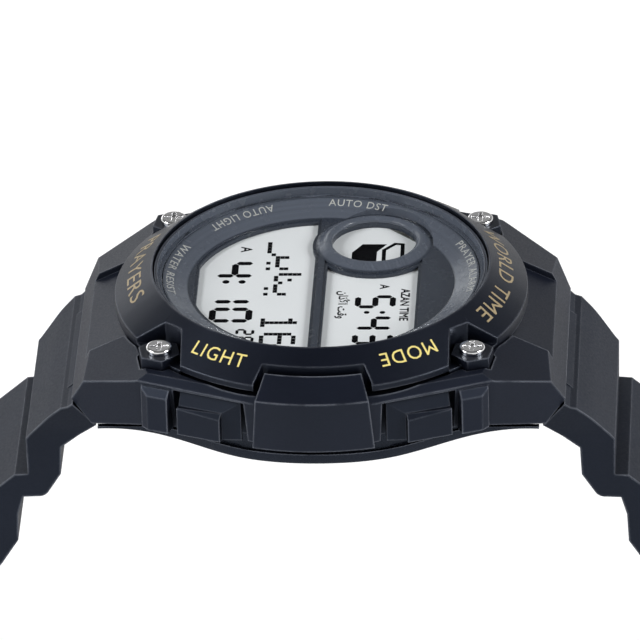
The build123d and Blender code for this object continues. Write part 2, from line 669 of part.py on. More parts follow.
# ---------------------------------------------------------------- strap end geometry
def end_point(along, down):
    """(y, z) of a point from the lug's upper edge: along the strap, then down the end face."""
    fall = radians(STRAP_FALL)
    y = LUG_TOP_Y + along * cos(fall) - down * sin(fall)
    z = LUG_TOP_Z - along * sin(fall) - down * cos(fall)
    return y, z


BAR_Y, BAR_Z = end_point(-BAR_DEPTH, BAR_DOWN)


def rod_x(r, half, y=BAR_Y, z=BAR_Z):
    return Pos(0, y, z) * Rot(0, 90, 0) * Cylinder(r, 2 * half)


def strap_pocket():
    """Slot in the lug's end for the strap's tongue, with room for the tongue to swing."""
    r = TONGUE_R + TONGUE_GAP
    mouth = 2 * BAR_DEPTH
    low = BAR_DOWN + r + (BAR_DEPTH + mouth) * tan(radians(SWING + SWING_SPARE))
    slot = side_prism([end_point(-BAR_DEPTH, BAR_DOWN - r), end_point(mouth, BAR_DOWN - r),
                       end_point(mouth, low), end_point(-BAR_DEPTH, BAR_DOWN + r)],
                      TONGUE_HALF + TONGUE_SIDE_GAP)
    return slot + rod_x(r, TONGUE_HALF + TONGUE_SIDE_GAP)


# ---------------------------------------------------------------- outer case shell
def guard(drop):
    """Guard at 3 o'clock, its top lowered by drop; the flanks narrow toward the back edge."""
    front_z = GUARD_FRONT_Z - drop
    back_z = GUARD_BACK_Z - drop
    body = turned([(GUARD_ROOT_R, ARCH_TOP_Z), (GUARD_FOOT_R, ARCH_TOP_Z), (GUARD_FRONT_R, front_z),
                   (GUARD_BACK_R, back_z), (GUARD_BACK_R, DECK_Z), (GUARD_ROOT_R, DECK_Z)])
    body &= block(0, BIG, -GUARD_FOOT_HALF, GUARD_FOOT_HALF, 0, RIM_Z)
    crease = Vector(sqrt(GUARD_FRONT_R ** 2 - GUARD_HALF ** 2), GUARD_HALF, front_z)
    foot = Vector(sqrt(GUARD_FOOT_R ** 2 - GUARD_FOOT_HALF ** 2), GUARD_FOOT_HALF, ARCH_TOP_Z)
    back = Vector(sqrt(GUARD_BACK_R ** 2 - GUARD_BACK_HALF ** 2), GUARD_BACK_HALF, back_z)
    flank = above(crease, (foot - crease).cross(back - crease))
    return body - flank - mirror(flank, about=Plane.XZ)


def shell_plan():
    lug_y = LUG_TOP_Y + LUG_SPARE
    quarter = [(SIDE_X, 0), (SIDE_X, SIDE_Y), (CORNER_A_X, CORNER_A_Y), (CORNER_B_X, CORNER_B_Y),
               (CORNER_B_X - LUG_TAPER, lug_y), (0, lug_y)]
    upper = quarter + [(-x, y) for x, y in quarter[-2::-1]]
    lower = [(x, -y) for x, y in upper[-2:0:-1]]
    return upper + lower


def shoulder_block():
    """Raised block with bevelled top beside a button."""
    u1 = BUTTON_WALL_U + BLOCK_PROUD
    body = button_box(RECESS_FLOOR_U, u1, BLOCK_S, BLOCK_S + BLOCK_W, ARCH_TOP_Z, BLOCK_TOP_Z)
    out, across = button_frame()
    top = out * (u1 - BLOCK_BEVEL) + Vector(0, 0, BLOCK_TOP_Z)
    side = out * u1 + across * (BLOCK_S + BLOCK_W - BLOCK_END_CUT)
    body -= above(top, out + Vector(0, 0, BLOCK_BEVEL_RISE))
    return body - above(side, out + across * BLOCK_END_LEAN)


def shell_corner_cuts():
    """Cuts in the +X +Y quadrant that are repeated in all four."""
    shoulder_normal = (SHOULDER_FALL_X, SHOULDER_FALL_Y, 1)
    shoulder = above((SHOULDER_X, SHOULDER_Y, SHOULDER_Z), shoulder_normal)
    shoulder &= block(SHOULDER_X, BIG, 0, BIG, 0, BIG)
    out = button_frame()[0]
    fall = radians(BEVEL_FALL)
    bevel = above((BEVEL_X, BEVEL_Y, RIDGE_Z), out * sin(fall) + Vector(0, 0, cos(fall)))
    bevel &= block(0, BIG, 0, BIG, 0, BIG)
    half = BUTTON_W / 2 + RECESS_SIDE
    recess_top = BUTTON_TOP_Z + RECESS_TOP
    recess = button_box(RECESS_FLOOR_U, BIG, BUTTON_S - half, BUTTON_S + half, 0, recess_top)
    well = along_button(SPRING_WELL_R, SEAL_U, BIG)
    post = pillar(PILLAR_APOTHEM + SLIDE_GAP, DECK_Z, RIM_Z)
    bore = disc(SCREW_SHANK_R + SEAT_GAP, SCREW_SEAT_Z - SCREW_LENGTH, RIM_Z, SCREW_X, SCREW_Y)
    return [shoulder, bevel, recess, well, post, bore]


def shell_end_cuts():
    """Cuts at the 12 o'clock end that are repeated at 6 o'clock."""
    channel = above((0, SHOULDER_Y, SHOULDER_Z - CHANNEL_DEPTH), (0, SHOULDER_FALL_Y, 1))
    channel &= block(-SHOULDER_X, SHOULDER_X, 0, BIG, 0, BIG)
    rise = STRIP_TOP_Z - LUG_TOP_Z
    strip = above((0, STRIP_TOP_Y, STRIP_TOP_Z), (0, rise, LUG_TOP_Y - STRIP_TOP_Y))
    fall = radians(STRAP_FALL)
    face = above((0, LUG_TOP_Y, LUG_TOP_Z), (0, cos(fall), -sin(fall)))
    tips = rod_x(BAR_TIP_R + RUN_GAP, TONGUE_HALF + BAR_TIP_REACH + TONGUE_SIDE_GAP)
    return [channel, strip, face, strap_pocket(), tips]


def case_shell():
    top = make_face(Polyline(*shell_plan(), close=True))
    body = Pos(0, 0, SHELL_PLAN_Z) * extrude(top, amount=-(SHELL_PLAN_Z - LUG_BOTTOM_Z), taper=SHELL_DRAFT)
    body -= block(-BIG, BIG, -BIG, BIG, RIDGE_Z, BIG)
    body -= disc(DECK_R, DECK_Z, BIG)
    for cut in shell_corner_cuts():
        for copy in four_corners(cut):
            body -= copy
    for cut in shell_end_cuts():
        for copy in both_ends(cut):
            body -= copy
    for piece in four_corners(shoulder_block()):
        body += piece
    body += guard(0)
    body += mirror(guard(GUARD_LEFT_DROP), about=Plane.YZ)
    arch = front_prism([(ARCH_X, 0), (ARCH_X, LUG_BOTTOM_Z), (ARCH_TOP_X, ARCH_TOP_Z), (BIG, ARCH_TOP_Z),
                        (BIG, 0)], -BIG, BIG)
    body -= arch
    body -= mirror(arch, about=Plane.YZ)
    body -= disc(BARREL_R + SLIDE_GAP, 0, DECK_Z + CUT)
    body -= disc(BAND_R + SLIDE_GAP, 0, BAND_TOP_Z + SLIDE_GAP)
    return body


# ---------------------------------------------------------------- push buttons
def button_cap():
    s0 = BUTTON_S - BUTTON_W / 2
    s1 = BUTTON_S + BUTTON_W / 2
    out, across = button_frame()
    pad_u = BUTTON_FACE_U + PAD_PROUD
    pad_top = BUTTON_TOP_Z - PAD_DROP
    plate = button_box(BUTTON_BACK_U, BUTTON_FACE_U, s0, s1, BUTTON_BOTTOM_Z, BUTTON_TOP_Z)
    pad = button_box(BUTTON_FACE_U - MERGE, pad_u, PAD_START_S, s1, BUTTON_BOTTOM_Z, pad_top)
    pad_edge = out * pad_u + across * s1 + Vector(0, 0, pad_top - PAD_EDGE_DROP)
    slope = above(pad_edge, out - across * PAD_LEAN + Vector(0, 0, PAD_BEVEL_RISE))
    crown = above(out * BUTTON_FACE_U + Vector(0, 0, pad_top), out + Vector(0, 0, CAP_CROWN_RISE))
    side = above(out * BUTTON_FACE_U + across * PAD_START_S, out - across * CAP_SIDE_LEAN)
    cap = plate - crown - side + (pad - slope)
    back = BUTTON_BACK_U - CUT
    well = along_button(SPRING_R + SPRING_WIRE_R + SPRING_SIDE_GAP, back, BUTTON_BACK_U + SPRING_HOLD)
    return cap - well - along_button(STEM_R + SEAT_GAP, back, BUTTON_BACK_U + STEM_HOLD)


def button_stem():
    rod = along_button(STEM_R, STEM_END_U, BUTTON_BACK_U + STEM_HOLD)
    groove = SEAL_WIRE_R + SEAT_GAP
    seal_neck = along_button(STEM_R + CUT, SEAL_U - groove, SEAL_U + groove)
    seal_neck -= along_button(STEM_R - SEAL_WIRE_R * 2 + RUN_GAP, 0, BIG)
    clip_neck = along_button(STEM_R + CUT, CLIP_U, CLIP_U + CLIP_THICK)
    clip_neck -= along_button(STEM_R - CLIP_NECK, 0, BIG)
    return rod - seal_neck - clip_neck


def button_seal():
    out, across = button_frame()
    centre = out * SEAL_U + across * BUTTON_S + Vector(0, 0, BUTTON_MID_Z)
    ring_r = STEM_R - SEAL_WIRE_R + RUN_GAP - SEAT_GAP / 2
    return Plane(origin=centre, z_dir=out) * Torus(ring_r, SEAL_WIRE_R - SEAT_GAP / 2)


def button_clip():
    ring = along_button(CLIP_R, CLIP_U + SEAT_GAP, CLIP_U + CLIP_THICK - SEAT_GAP)
    ring -= along_button(STEM_R - CLIP_NECK + SEAT_GAP, 0, BIG)
    half = CLIP_MOUTH / 2
    mouth = button_box(0, BIG, BUTTON_S - half, BUTTON_S + half, BUTTON_MID_Z, BIG)
    return ring - mouth


def button_spring():
    out, across = button_frame()
    start = SPRING_SEAT_U + SPRING_WIRE_R
    length = BUTTON_BACK_U + SPRING_HOLD - SPRING_WIRE_R - start
    path = Helix(pitch=length / SPRING_TURNS, height=length, radius=SPRING_R)
    section = Plane(origin=path @ 0, z_dir=path % 0) * Circle(SPRING_WIRE_R)
    wire = sweep(section, path=path, is_frenet=True)
    foot = out * start + across * BUTTON_S + Vector(0, 0, BUTTON_MID_Z)
    return Plane(origin=foot, z_dir=out) * wire


# ---------------------------------------------------------------- display
def lcd_outline(grow=0.0):
    plate = Rectangle(2 * (LCD_HALF_X + grow), 2 * (LCD_HALF_Y + grow))
    corner = LCD_CORNER + grow * sqrt(2)
    return plate & Rot(0, 0, 45) * Rectangle(corner * sqrt(2), corner * sqrt(2))


def window_band(y0, y1, x0=-BIG):
    return Pos((x0 + BIG) / 2, (y0 + y1) / 2) * Rectangle(BIG - x0, y1 - y0)


def windows(grow=0.0):
    """Outlines of the large and the small window in the dial mask."""
    field = Circle(WINDOW_R + grow)
    keep_off = Pos(ROUND_X, ROUND_Y) * Circle(ROUND_RING_R + ROUND_RING_GAP - grow)
    large = (field & window_band(WINDOW_LOW_Y - grow, BAR_LOW_Y + grow)) - keep_off
    small = (field & window_band(BAR_HIGH_Y - grow, WINDOW_HIGH_Y + grow, ROUND_X)) - keep_off
    return large, small


def dial_mask():
    body = disc(MASK_R, MASK_BOTTOM_Z, MASK_TOP_Z)
    foot = MASK_TOP_Z - MERGE
    body += turned([(FLANGE_R, foot), (MASK_R, foot), (MASK_R, FLANGE_TOP_Z),
                    (MASK_R - FLANGE_LAND, FLANGE_TOP_Z), (FLANGE_R, MASK_TOP_Z)])
    body -= disc(ROUND_RING_R + SEAT_GAP, MASK_TOP_Z, RIM_Z, ROUND_X, ROUND_Y)
    body -= disc(ROUND_R, 0, RIM_Z, ROUND_X, ROUND_Y)
    for shape in windows():
        body -= extrude(shape, amount=RIM_Z)
    for shape in windows(WINDOW_BEVEL):
        body -= Pos(0, 0, MASK_TOP_Z - WINDOW_BEVEL / 2) * extrude(shape, amount=RIM_Z)
    return body


def round_window_ring():
    """Ring that swells from the dial to a crest near the round window."""
    foot = (ROUND_RING_R, MASK_TOP_Z)
    crest = (ROUND_R + ROUND_RING_LAND, ROUND_RING_TOP_Z)
    swell = Spline(foot, crest, tangents=[(-1, 0), (-1, 0)])
    inside = Polyline(crest, (ROUND_R, ROUND_RING_TOP_Z - ROUND_RING_LIP), (ROUND_R, MASK_TOP_Z), foot)
    section = Plane.XZ * make_face([swell, inside])
    return Pos(ROUND_X, ROUND_Y, 0) * revolve(section, Axis.Z)


def front_polariser():
    return Pos(0, 0, LCD_TOP_Z) * extrude(lcd_outline(-POLARISER_INSET), amount=POLARISER_THICK)


def lcd_glass():
    return Pos(0, 0, LCD_BOTTOM_Z) * extrude(lcd_outline(), amount=LCD_TOP_Z - LCD_BOTTOM_Z)


def light_guide():
    plate = block(-GUIDE_HALF_X, GUIDE_HALF_X, -GUIDE_HALF_Y, GUIDE_HALF_Y, GUIDE_BOTTOM_Z, LCD_BOTTOM_Z)
    corners = plate.edges().filter_by(Axis.Z)
    return chamfer(corners, GUIDE_CORNER)


def backlight_lamp():
    half = LAMP_W / 2
    return block(LAMP_X, LAMP_X + LAMP_DEPTH, -half, half, BOARD_TOP_Z, LAMP_TOP_Z)


# ---------------------------------------------------------------- module
def rubber_strip():
    half = STRIP_LENGTH / 2
    low = STRIP_Y - STRIP_WIDTH / 2
    return block(-half, half, low, low + STRIP_WIDTH, BOARD_TOP_Z, LCD_BOTTOM_Z)


def stem_pockets(u0):
    """Room round the stem ends for the buttons' travel."""
    half = CLIP_R + STEM_POCKET_GAP
    pocket = button_box(u0, BIG, BUTTON_S - half, BUTTON_S + half, 0, GUIDE_BOTTOM_Z + STEM_POCKET_GAP)
    return four_corners(pocket)


def module_frame():
    ring = disc(FRAME_R, FRAME_BOTTOM_Z, LCD_TOP_Z)
    opening = disc(FRAME_OPEN_R, 0, RIM_Z)
    opening &= block(-FRAME_OPEN_X, FRAME_OPEN_X, -FRAME_OPEN_Y, FRAME_OPEN_Y, 0, RIM_Z)
    ring -= opening
    ring -= Pos(0, 0, LCD_BOTTOM_Z) * extrude(lcd_outline(LCD_SEAT_GAP), amount=RIM_Z)
    lamp_half = LAMP_W / 2 + LAMP_GAP
    lamp_end = LAMP_X + LAMP_DEPTH + LAMP_GAP
    ring -= block(LAMP_X - LAMP_GAP, lamp_end, -lamp_half, lamp_half, 0, LCD_BOTTOM_Z)
    ring -= disc(BOARD_R + BOARD_GAP, 0, BOARD_TOP_Z + BOARD_COVER)
    for pocket in stem_pockets(CONTACT_U - CONTACT_FOOT - BOARD_GAP):
        ring -= pocket
    return ring


def circuit_board():
    board = disc(BOARD_R, BOARD_TOP_Z - BOARD_THICK, BOARD_TOP_Z)
    for pocket in stem_pockets(CONTACT_U - CONTACT_THICK):
        board -= pocket
    return board


def side_contact():
    s0 = BUTTON_S - CONTACT_W / 2
    s1 = BUTTON_S + CONTACT_W / 2
    foot_top = BOARD_TOP_Z + CONTACT_THICK
    foot = button_box(CONTACT_U - CONTACT_FOOT, CONTACT_U, s0, s1, BOARD_TOP_Z, foot_top)
    leg = button_box(CONTACT_U - CONTACT_THICK, CONTACT_U, s0, s1, BOARD_TOP_Z, CONTACT_TOP_Z)
    return foot + leg


def main_chip():
    blob = disc(CHIP_R, BOARD_TOP_Z, BOARD_TOP_Z + CHIP_H, CHIP_X, 0)
    return fillet(blob.edges().group_by(Axis.Z)[-1], CHIP_ROUND)


BOARD_BOTTOM_Z = BOARD_TOP_Z - BOARD_THICK
BATTERY_TOP_Z = BOARD_BOTTOM_Z - BATTERY_GAP
BATTERY_BOTTOM_Z = BATTERY_TOP_Z - BATTERY_H


def battery():
    shoulder = BATTERY_TOP_Z - CELL_STEP
    cell = disc(BATTERY_R, BATTERY_BOTTOM_Z, shoulder, BATTERY_X, 0)
    cell = fillet(cell.edges().group_by(Axis.Z)[0], CELL_ROUND)
    return cell + disc(BATTERY_R - CELL_RIM, shoulder - MERGE, BATTERY_TOP_Z, BATTERY_X, 0)


def battery_contact():
    """Spring plate between the board and the cell's negative cap."""
    half_x = CONTACT_PLATE_X / 2
    half_y = CONTACT_PLATE_Y / 2
    return block(BATTERY_X - half_x, BATTERY_X + half_x, -half_y, half_y, BATTERY_TOP_Z, BOARD_BOTTOM_Z)


def battery_clamp():
    reach = BATTERY_R + CLAMP_REACH
    low = BATTERY_BOTTOM_Z - CLAMP_THICK
    x0 = BATTERY_X - CLAMP_W / 2
    x1 = BATTERY_X + CLAMP_W / 2
    bridge = block(x0, x1, -reach, reach, low, BATTERY_BOTTOM_Z)
    leg = block(x0, x1, reach - CLAMP_THICK, reach, low, BOARD_BOTTOM_Z)
    return bridge + leg + mirror(leg, about=Plane.XZ)


def quartz_crystal():
    can = Cylinder(QUARTZ_R, QUARTZ_L)
    return Pos(QUARTZ_X, 0, BOARD_BOTTOM_Z - QUARTZ_R) * Rot(90, 0, 0) * can


def sounder_coil():
    return disc(COIL_R, BOARD_BOTTOM_Z - COIL_H, BOARD_BOTTOM_Z, COIL_X, COIL_Y)


def insulator_sheet():
    sheet = disc(SHEET_R, SHEET_Z, SHEET_Z + SHEET_THICK)
    for side in (-1, 1):
        sheet -= disc(BUZZER_SPRING_R + BUZZER_HOLE_GAP, 0, BIG, BUZZER_SPRING_X, side * BUZZER_SPRING_Y)
    return sheet


def buzzer_disc():
    return disc(BUZZER_R, BAND_BOTTOM_Z, BAND_BOTTOM_Z + BUZZER_THICK)


def buzzer_spring():
    """Contact spring from the board down to the sounder plate."""
    start = BAND_BOTTOM_Z + BUZZER_THICK + BUZZER_WIRE_R
    length = BOARD_BOTTOM_Z - BUZZER_WIRE_R - start
    path = Helix(pitch=length / BUZZER_TURNS, height=length, radius=BUZZER_SPRING_R - BUZZER_WIRE_R)
    section = Plane(origin=path @ 0, z_dir=path % 0) * Circle(BUZZER_WIRE_R)
    return Pos(BUZZER_SPRING_X, -BUZZER_SPRING_Y, start) * sweep(section, path=path, is_frenet=True)


# ---------------------------------------------------------------- strap
def bend_centre(point, heading, radius):
    """Centre of a bend toward the wrist; headings are degrees below the horizontal."""
    a = radians(heading)
    return point[0] - radius * sin(a), point[1] - radius * cos(a)


def on_bend(centre, heading, radius):
    a = radians(heading)
    return centre[0] + radius * sin(a), centre[1] + radius * cos(a)


def profile_point(out, down):
    """(y, z) of a point that far outward and down from the lug's upper edge."""
    return LUG_TOP_Y + out, LUG_TOP_Z - down


BAND_START = profile_point(BAND_OUT, BAND_DOWN)
SIDE_CENTRE = bend_centre(BAND_START, BAND_HEADING, SIDE_BEND_R)
SIDE_END = on_bend(SIDE_CENTRE, SIDE_BEND_END, SIDE_BEND_R)
FLOOR_CENTRE = bend_centre(SIDE_END, SIDE_BEND_END, FLOOR_BEND_R)
FLOOR_POINT = on_bend(FLOOR_CENTRE, FLOOR_HEADING, FLOOR_BEND_R)
TAIL_CENTRE = (FLOOR_POINT[0], FLOOR_POINT[1] + TAIL_BEND_R)


def arc_points(centre, start, end, radius):
    """Start, middle and end of a bend on the side profile."""
    return [on_bend(centre, h, radius) for h in (start, (start + end) / 2, end)]


def link_outer():
    """Outer contour of the first links, from the case to the plain band."""
    link = [(CREST_OUT, CREST_DOWN), (TOP_OUT, TOP_DOWN), (FACE_OUT, FACE_DOWN), (NECK_OUT, NECK_DOWN)]
    second = [(out + LINK_OUT, down + LINK_DOWN - LINK_RISE) for out, down in link[1:3]]
    return [profile_point(*p) for p in link + second]


def link_inner():
    """Wrist side contour of the first links."""
    link = [(INNER_OUT, INNER_DOWN), (WRIST_OUT, WRIST_DOWN), (HEEL_OUT, HEEL_DOWN),
            (THROAT_OUT, THROAT_DOWN)]
    second = [(out + LINK_OUT, down + LINK_DOWN) for out, down in link[:3]]
    return [profile_point(*p) for p in link + second]


def band_profile(tail):
    """Closed side profile of a strap half, from the case end to its free end."""
    t = BAND_THICK
    end_top = end_point(END_GAP, 0)
    end_low = end_point(END_RELIEF, STRAP_THICK)
    lines = [Polyline(end_low, end_top, *link_outer(), BAND_START)]
    side = arc_points(SIDE_CENTRE, BAND_HEADING, SIDE_BEND_END, SIDE_BEND_R)
    floor = arc_points(FLOOR_CENTRE, SIDE_BEND_END, FLOOR_HEADING, FLOOR_BEND_R)
    lines += [ThreePointArc(*side), ThreePointArc(*floor)]
    side_in = arc_points(SIDE_CENTRE, BAND_HEADING, SIDE_BEND_END, SIDE_BEND_R - t)
    floor_in = arc_points(FLOOR_CENTRE, SIDE_BEND_END, FLOOR_HEADING, FLOOR_BEND_R - t)
    if tail:
        tip = FLOOR_HEADING + TAIL_TURN
        outer = arc_points(TAIL_CENTRE, FLOOR_HEADING, tip, TAIL_BEND_R)
        inner = arc_points(TAIL_CENTRE, FLOOR_HEADING, tip, TAIL_BEND_R - t)
        lines += [ThreePointArc(*outer), Line(outer[2], inner[2]), ThreePointArc(*inner[::-1])]
    else:
        run_end = (FLOOR_POINT[0] - SHORT_RUN, FLOOR_POINT[1])
        back = (run_end[0], run_end[1] + t)
        lines += [Line(floor[2], run_end), Line(run_end, back), Line(back, floor_in[2])]
    lines += [ThreePointArc(*floor_in[::-1]), ThreePointArc(*side_in[::-1])]
    lines.append(Polyline(side_in[0], *link_inner()[::-1], end_low))
    face = make_face(lines)
    for out, down, r in ((HEEL_OUT, HEEL_DOWN, HEEL_ROUND), (CREST_OUT, CREST_DOWN, CREST_ROUND)):
        corner = face.vertices().sort_by_distance(profile_point(out, down))[0]
        face = fillet(corner, r)
    return face


def strap_width():
    """Front outline of a strap half: wide at the case, narrow from the first link."""
    half = [(STRAP_HALF_CASE, BIG), (STRAP_HALF_CASE, LUG_TOP_Z), (STRAP_HALF_LINK, FIRST_WIDTH_Z),
            (STRAP_HALF_LINK - LINK_NARROWING, SECOND_WIDTH_Z), (STRAP_HALF, PLAIN_WIDTH_Z),
            (STRAP_HALF, -BIG)]
    outline = half + [(-x, z) for x, z in half[::-1]]
    return front_prism(outline, 0, BIG) + front_prism(outline, -BIG, 0)


def strap_tongue():
    r = TONGUE_R
    root = END_RELIEF + CUT
    neck = side_prism([end_point(-BAR_DEPTH, BAR_DOWN - r), end_point(root, BAR_DOWN - r),
                       end_point(root, BAR_DOWN + r), end_point(-BAR_DEPTH, BAR_DOWN + r)], TONGUE_HALF)
    return neck + rod_x(r, TONGUE_HALF)


def strap_body(tail):
    profile = Plane.YZ * band_profile(tail)
    body = extrude(profile, amount=STRAP_HALF_CASE + CUT, both=True) & strap_width()
    step_end = STEP_LENGTH + STEP_FLARE
    step = side_prism([end_point(-CUT, -CUT), end_point(step_end, -CUT), end_point(step_end, 0),
                       end_point(STEP_LENGTH, STEP_DEPTH), end_point(-CUT, STEP_DEPTH)], BIG)
    body = body - step + strap_tongue()
    return body - rod_x(BAR_R + RUN_GAP, TONGUE_HALF + CUT)


def bend_plane(centre, heading, radius):
    """Plane on a bend's outer surface: y runs on along the strap, z away from the wrist."""
    y, z = on_bend(centre, heading, radius)
    a = radians(heading)
    return Plane(origin=(0, y, z), x_dir=(1, 0, 0), z_dir=(0, sin(a), cos(a)))


def strap_tail():
    """The long half with its adjustment holes, built at 12 o'clock and turned to 6."""
    body = strap_body(True)
    per_mm = degrees(1 / TAIL_BEND_R)
    tip = FLOOR_HEADING + TAIL_TURN
    hole = Box(HOLE_W, HOLE_L, 6 * BAND_THICK)
    hole = fillet(hole.edges().filter_by(Axis.Z), HOLE_ROUND)
    bend_length = radians(TAIL_TURN) * TAIL_BEND_R
    for i in range(HOLE_COUNT):
        back = HOLE_FIRST + i * HOLE_PITCH
        if back < bend_length:
            plane = bend_plane(TAIL_CENTRE, tip - back * per_mm, TAIL_BEND_R)
        else:
            heading = FLOOR_HEADING - (back - bend_length) * degrees(1 / FLOOR_BEND_R)
            plane = bend_plane(FLOOR_CENTRE, heading, FLOOR_BEND_R)
        body -= plane * hole
    side = STRAP_HALF - TAIL_CORNER
    corner = block(side, BIG, -TAIL_CORNER, TAIL_CORNER, -2 * BAND_THICK, BAND_THICK)
    corner -= disc(TAIL_CORNER, -BIG, BIG, side, -TAIL_CORNER)
    for cut in (corner, mirror(corner, about=Plane.YZ)):
        body -= bend_plane(TAIL_CENTRE, tip, TAIL_BEND_R) * cut
    return body


def strap_short():
    body = strap_body(False)
    pin_y, pin_z = BUCKLE_PIN
    body -= rod_x(PIN_R + RUN_GAP, BIG, pin_y, pin_z)
    y0 = pin_y - PIN_FROM_END
    y1 = pin_y + HUB_R + HUB_GAP
    body -= block(-EAR_SLOT_HALF, EAR_SLOT_HALF, y0 - CUT, y1, pin_z - BAND_THICK, pin_z + BAND_THICK)
    return body


def spring_bar():
    bar = rod_x(BAR_R, TONGUE_HALF + TONGUE_SIDE_GAP / 2)
    return bar + rod_x(BAR_TIP_R, TONGUE_HALF + BAR_TIP_REACH)


# ---------------------------------------------------------------- buckle and keeper
BUCKLE_PIN = (FLOOR_POINT[0] - SHORT_RUN + PIN_FROM_END, FLOOR_POINT[1] + BAND_THICK / 2)
ARM_IN = STRAP_HALF + FRAME_SIDE_GAP
ARM_OUT = ARM_IN + ARM_W


def buckle_frame():
    y_pin, z_pin = BUCKLE_PIN
    z0 = z_pin - BUCKLE_THICK / 2
    z1 = z_pin + BUCKLE_THICK / 2
    far = y_pin - BUCKLE_REACH
    body = block(-ARM_OUT, ARM_OUT, far, y_pin + BUCKLE_EAR, z0, z1)
    corners = body.edges().filter_by(Axis.Z).group_by(Axis.Y)[0]
    body = fillet(corners, BUCKLE_CORNER_R)
    body -= block(-ARM_IN, ARM_IN, far + BUCKLE_BAR, BIG, z0 - CUT, z1 + CUT)
    levels = body.edges().filter_by(Axis.Z, reverse=True).group_by(Axis.Z)
    body = chamfer(levels[0] + levels[-1], BUCKLE_EDGE)
    half = PRONG_HALF + PRONG_SIDE_GAP
    seat_top = z0 + PRONG_THICK + PRONG_SIDE_GAP
    body -= block(-half, half, far - CUT, far + BUCKLE_BAR + CUT, z0 - CUT, seat_top)
    return body - rod_x(PIN_R + SEAT_GAP, ARM_OUT - PIN_INSET, y_pin, z_pin)


def buckle_pin():
    return rod_x(PIN_R, ARM_OUT - PIN_INSET - RUN_GAP, *BUCKLE_PIN)


def buckle_prong():
    y_pin, z_pin = BUCKLE_PIN
    z0 = z_pin - BUCKLE_THICK / 2 + PRONG_DROP
    tip = y_pin - BUCKLE_REACH + PRONG_SHORT
    hub = rod_x(HUB_R, PRONG_HALF, y_pin, z_pin)
    bar = block(-PRONG_HALF, PRONG_HALF, tip, y_pin, z0, z0 + PRONG_THICK)
    return hub + bar - rod_x(PIN_R + RUN_GAP, PRONG_HALF + CUT, y_pin, z_pin)


def keeper_loop():
    """Loop round the short half that can take the tail as a second layer."""
    out_in = SIDE_BEND_R - BAND_THICK - KEEPER_GAP
    out_out = SIDE_BEND_R + KEEPER_SPARE
    half = STRAP_HALF + KEEPER_GAP
    plane = bend_plane(SIDE_CENTRE, KEEPER_HEADING, 0)
    w = KEEPER_WALL
    outer = Box(2 * (half + w), KEEPER_W, out_out - out_in + 2 * w)
    outer = fillet(outer.edges().filter_by(Axis.Y), KEEPER_ROUND)
    loop = outer - Box(2 * half, 2 * KEEPER_W, out_out - out_in)
    return plane * Pos(0, 0, (out_in + out_out) / 2) * loop


# ---------------------------------------------------------------- build
BUTTON_NAMES = ("upper_right", "lower_right", "upper_left", "lower_left")


def build():
    save(bezel_ring(), "bezel_ring")
    save(group(four_corners(bezel_screw())), "bezel_screws")
    save(crystal(), "crystal")
    save(crystal_gasket(), "crystal_gasket")
    save(inner_case(), "inner_case")
    save(case_back(), "case_back")
    save(group(four_corners(case_back_screw())), "case_back_screws")
    save(case_back_gasket(), "case_back_gasket")
    save(case_shell(), "case_shell")
    makers = {"cap": button_cap, "stem": button_stem, "seal": button_seal, "clip": button_clip,
              "spring": button_spring}
    for part, maker in makers.items():
        for place, copy in zip(BUTTON_NAMES, four_corners(maker())):
            save(copy, f"button_{part}_{place}")
    save(dial_mask(), "dial_mask")
    save(round_window_ring(), "round_window_ring")
    save(front_polariser(), "front_polariser")
    save(lcd_glass(), "lcd_glass")
    save(light_guide(), "light_guide")
    save(backlight_lamp(), "backlight_lamp")
    save(group(both_ends(rubber_strip())), "rubber_connectors")
    save(module_frame(), "module_frame")
    save(circuit_board(), "circuit_board")
    save(group(four_corners(side_contact())), "side_contacts")
    save(main_chip(), "main_chip")
    save(battery(), "battery")
    save(battery_contact(), "battery_contact")
    save(battery_clamp(), "battery_clamp")
    save(quartz_crystal(), "quartz_crystal")
    save(sounder_coil(), "sounder_coil")
    save(insulator_sheet(), "insulator_sheet")
    save(buzzer_disc(), "buzzer_disc")
    save(group(both_ends(buzzer_spring())), "buzzer_springs")
    save(spring_bar(), "spring_bar_12")
    save(mirror(spring_bar(), about=Plane.XZ), "spring_bar_6")
    save(strap_short(), "strap_12")
    save(mirror(strap_tail(), about=Plane.XZ), "strap_6")
    save(buckle_frame(), "buckle_frame")
    save(buckle_pin(), "buckle_pin")
    save(buckle_prong(), "buckle_prong")
    save(keeper_loop(), "keeper_loop")


build()
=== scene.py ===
import json
from math import atan2, cos, radians, sin, tan

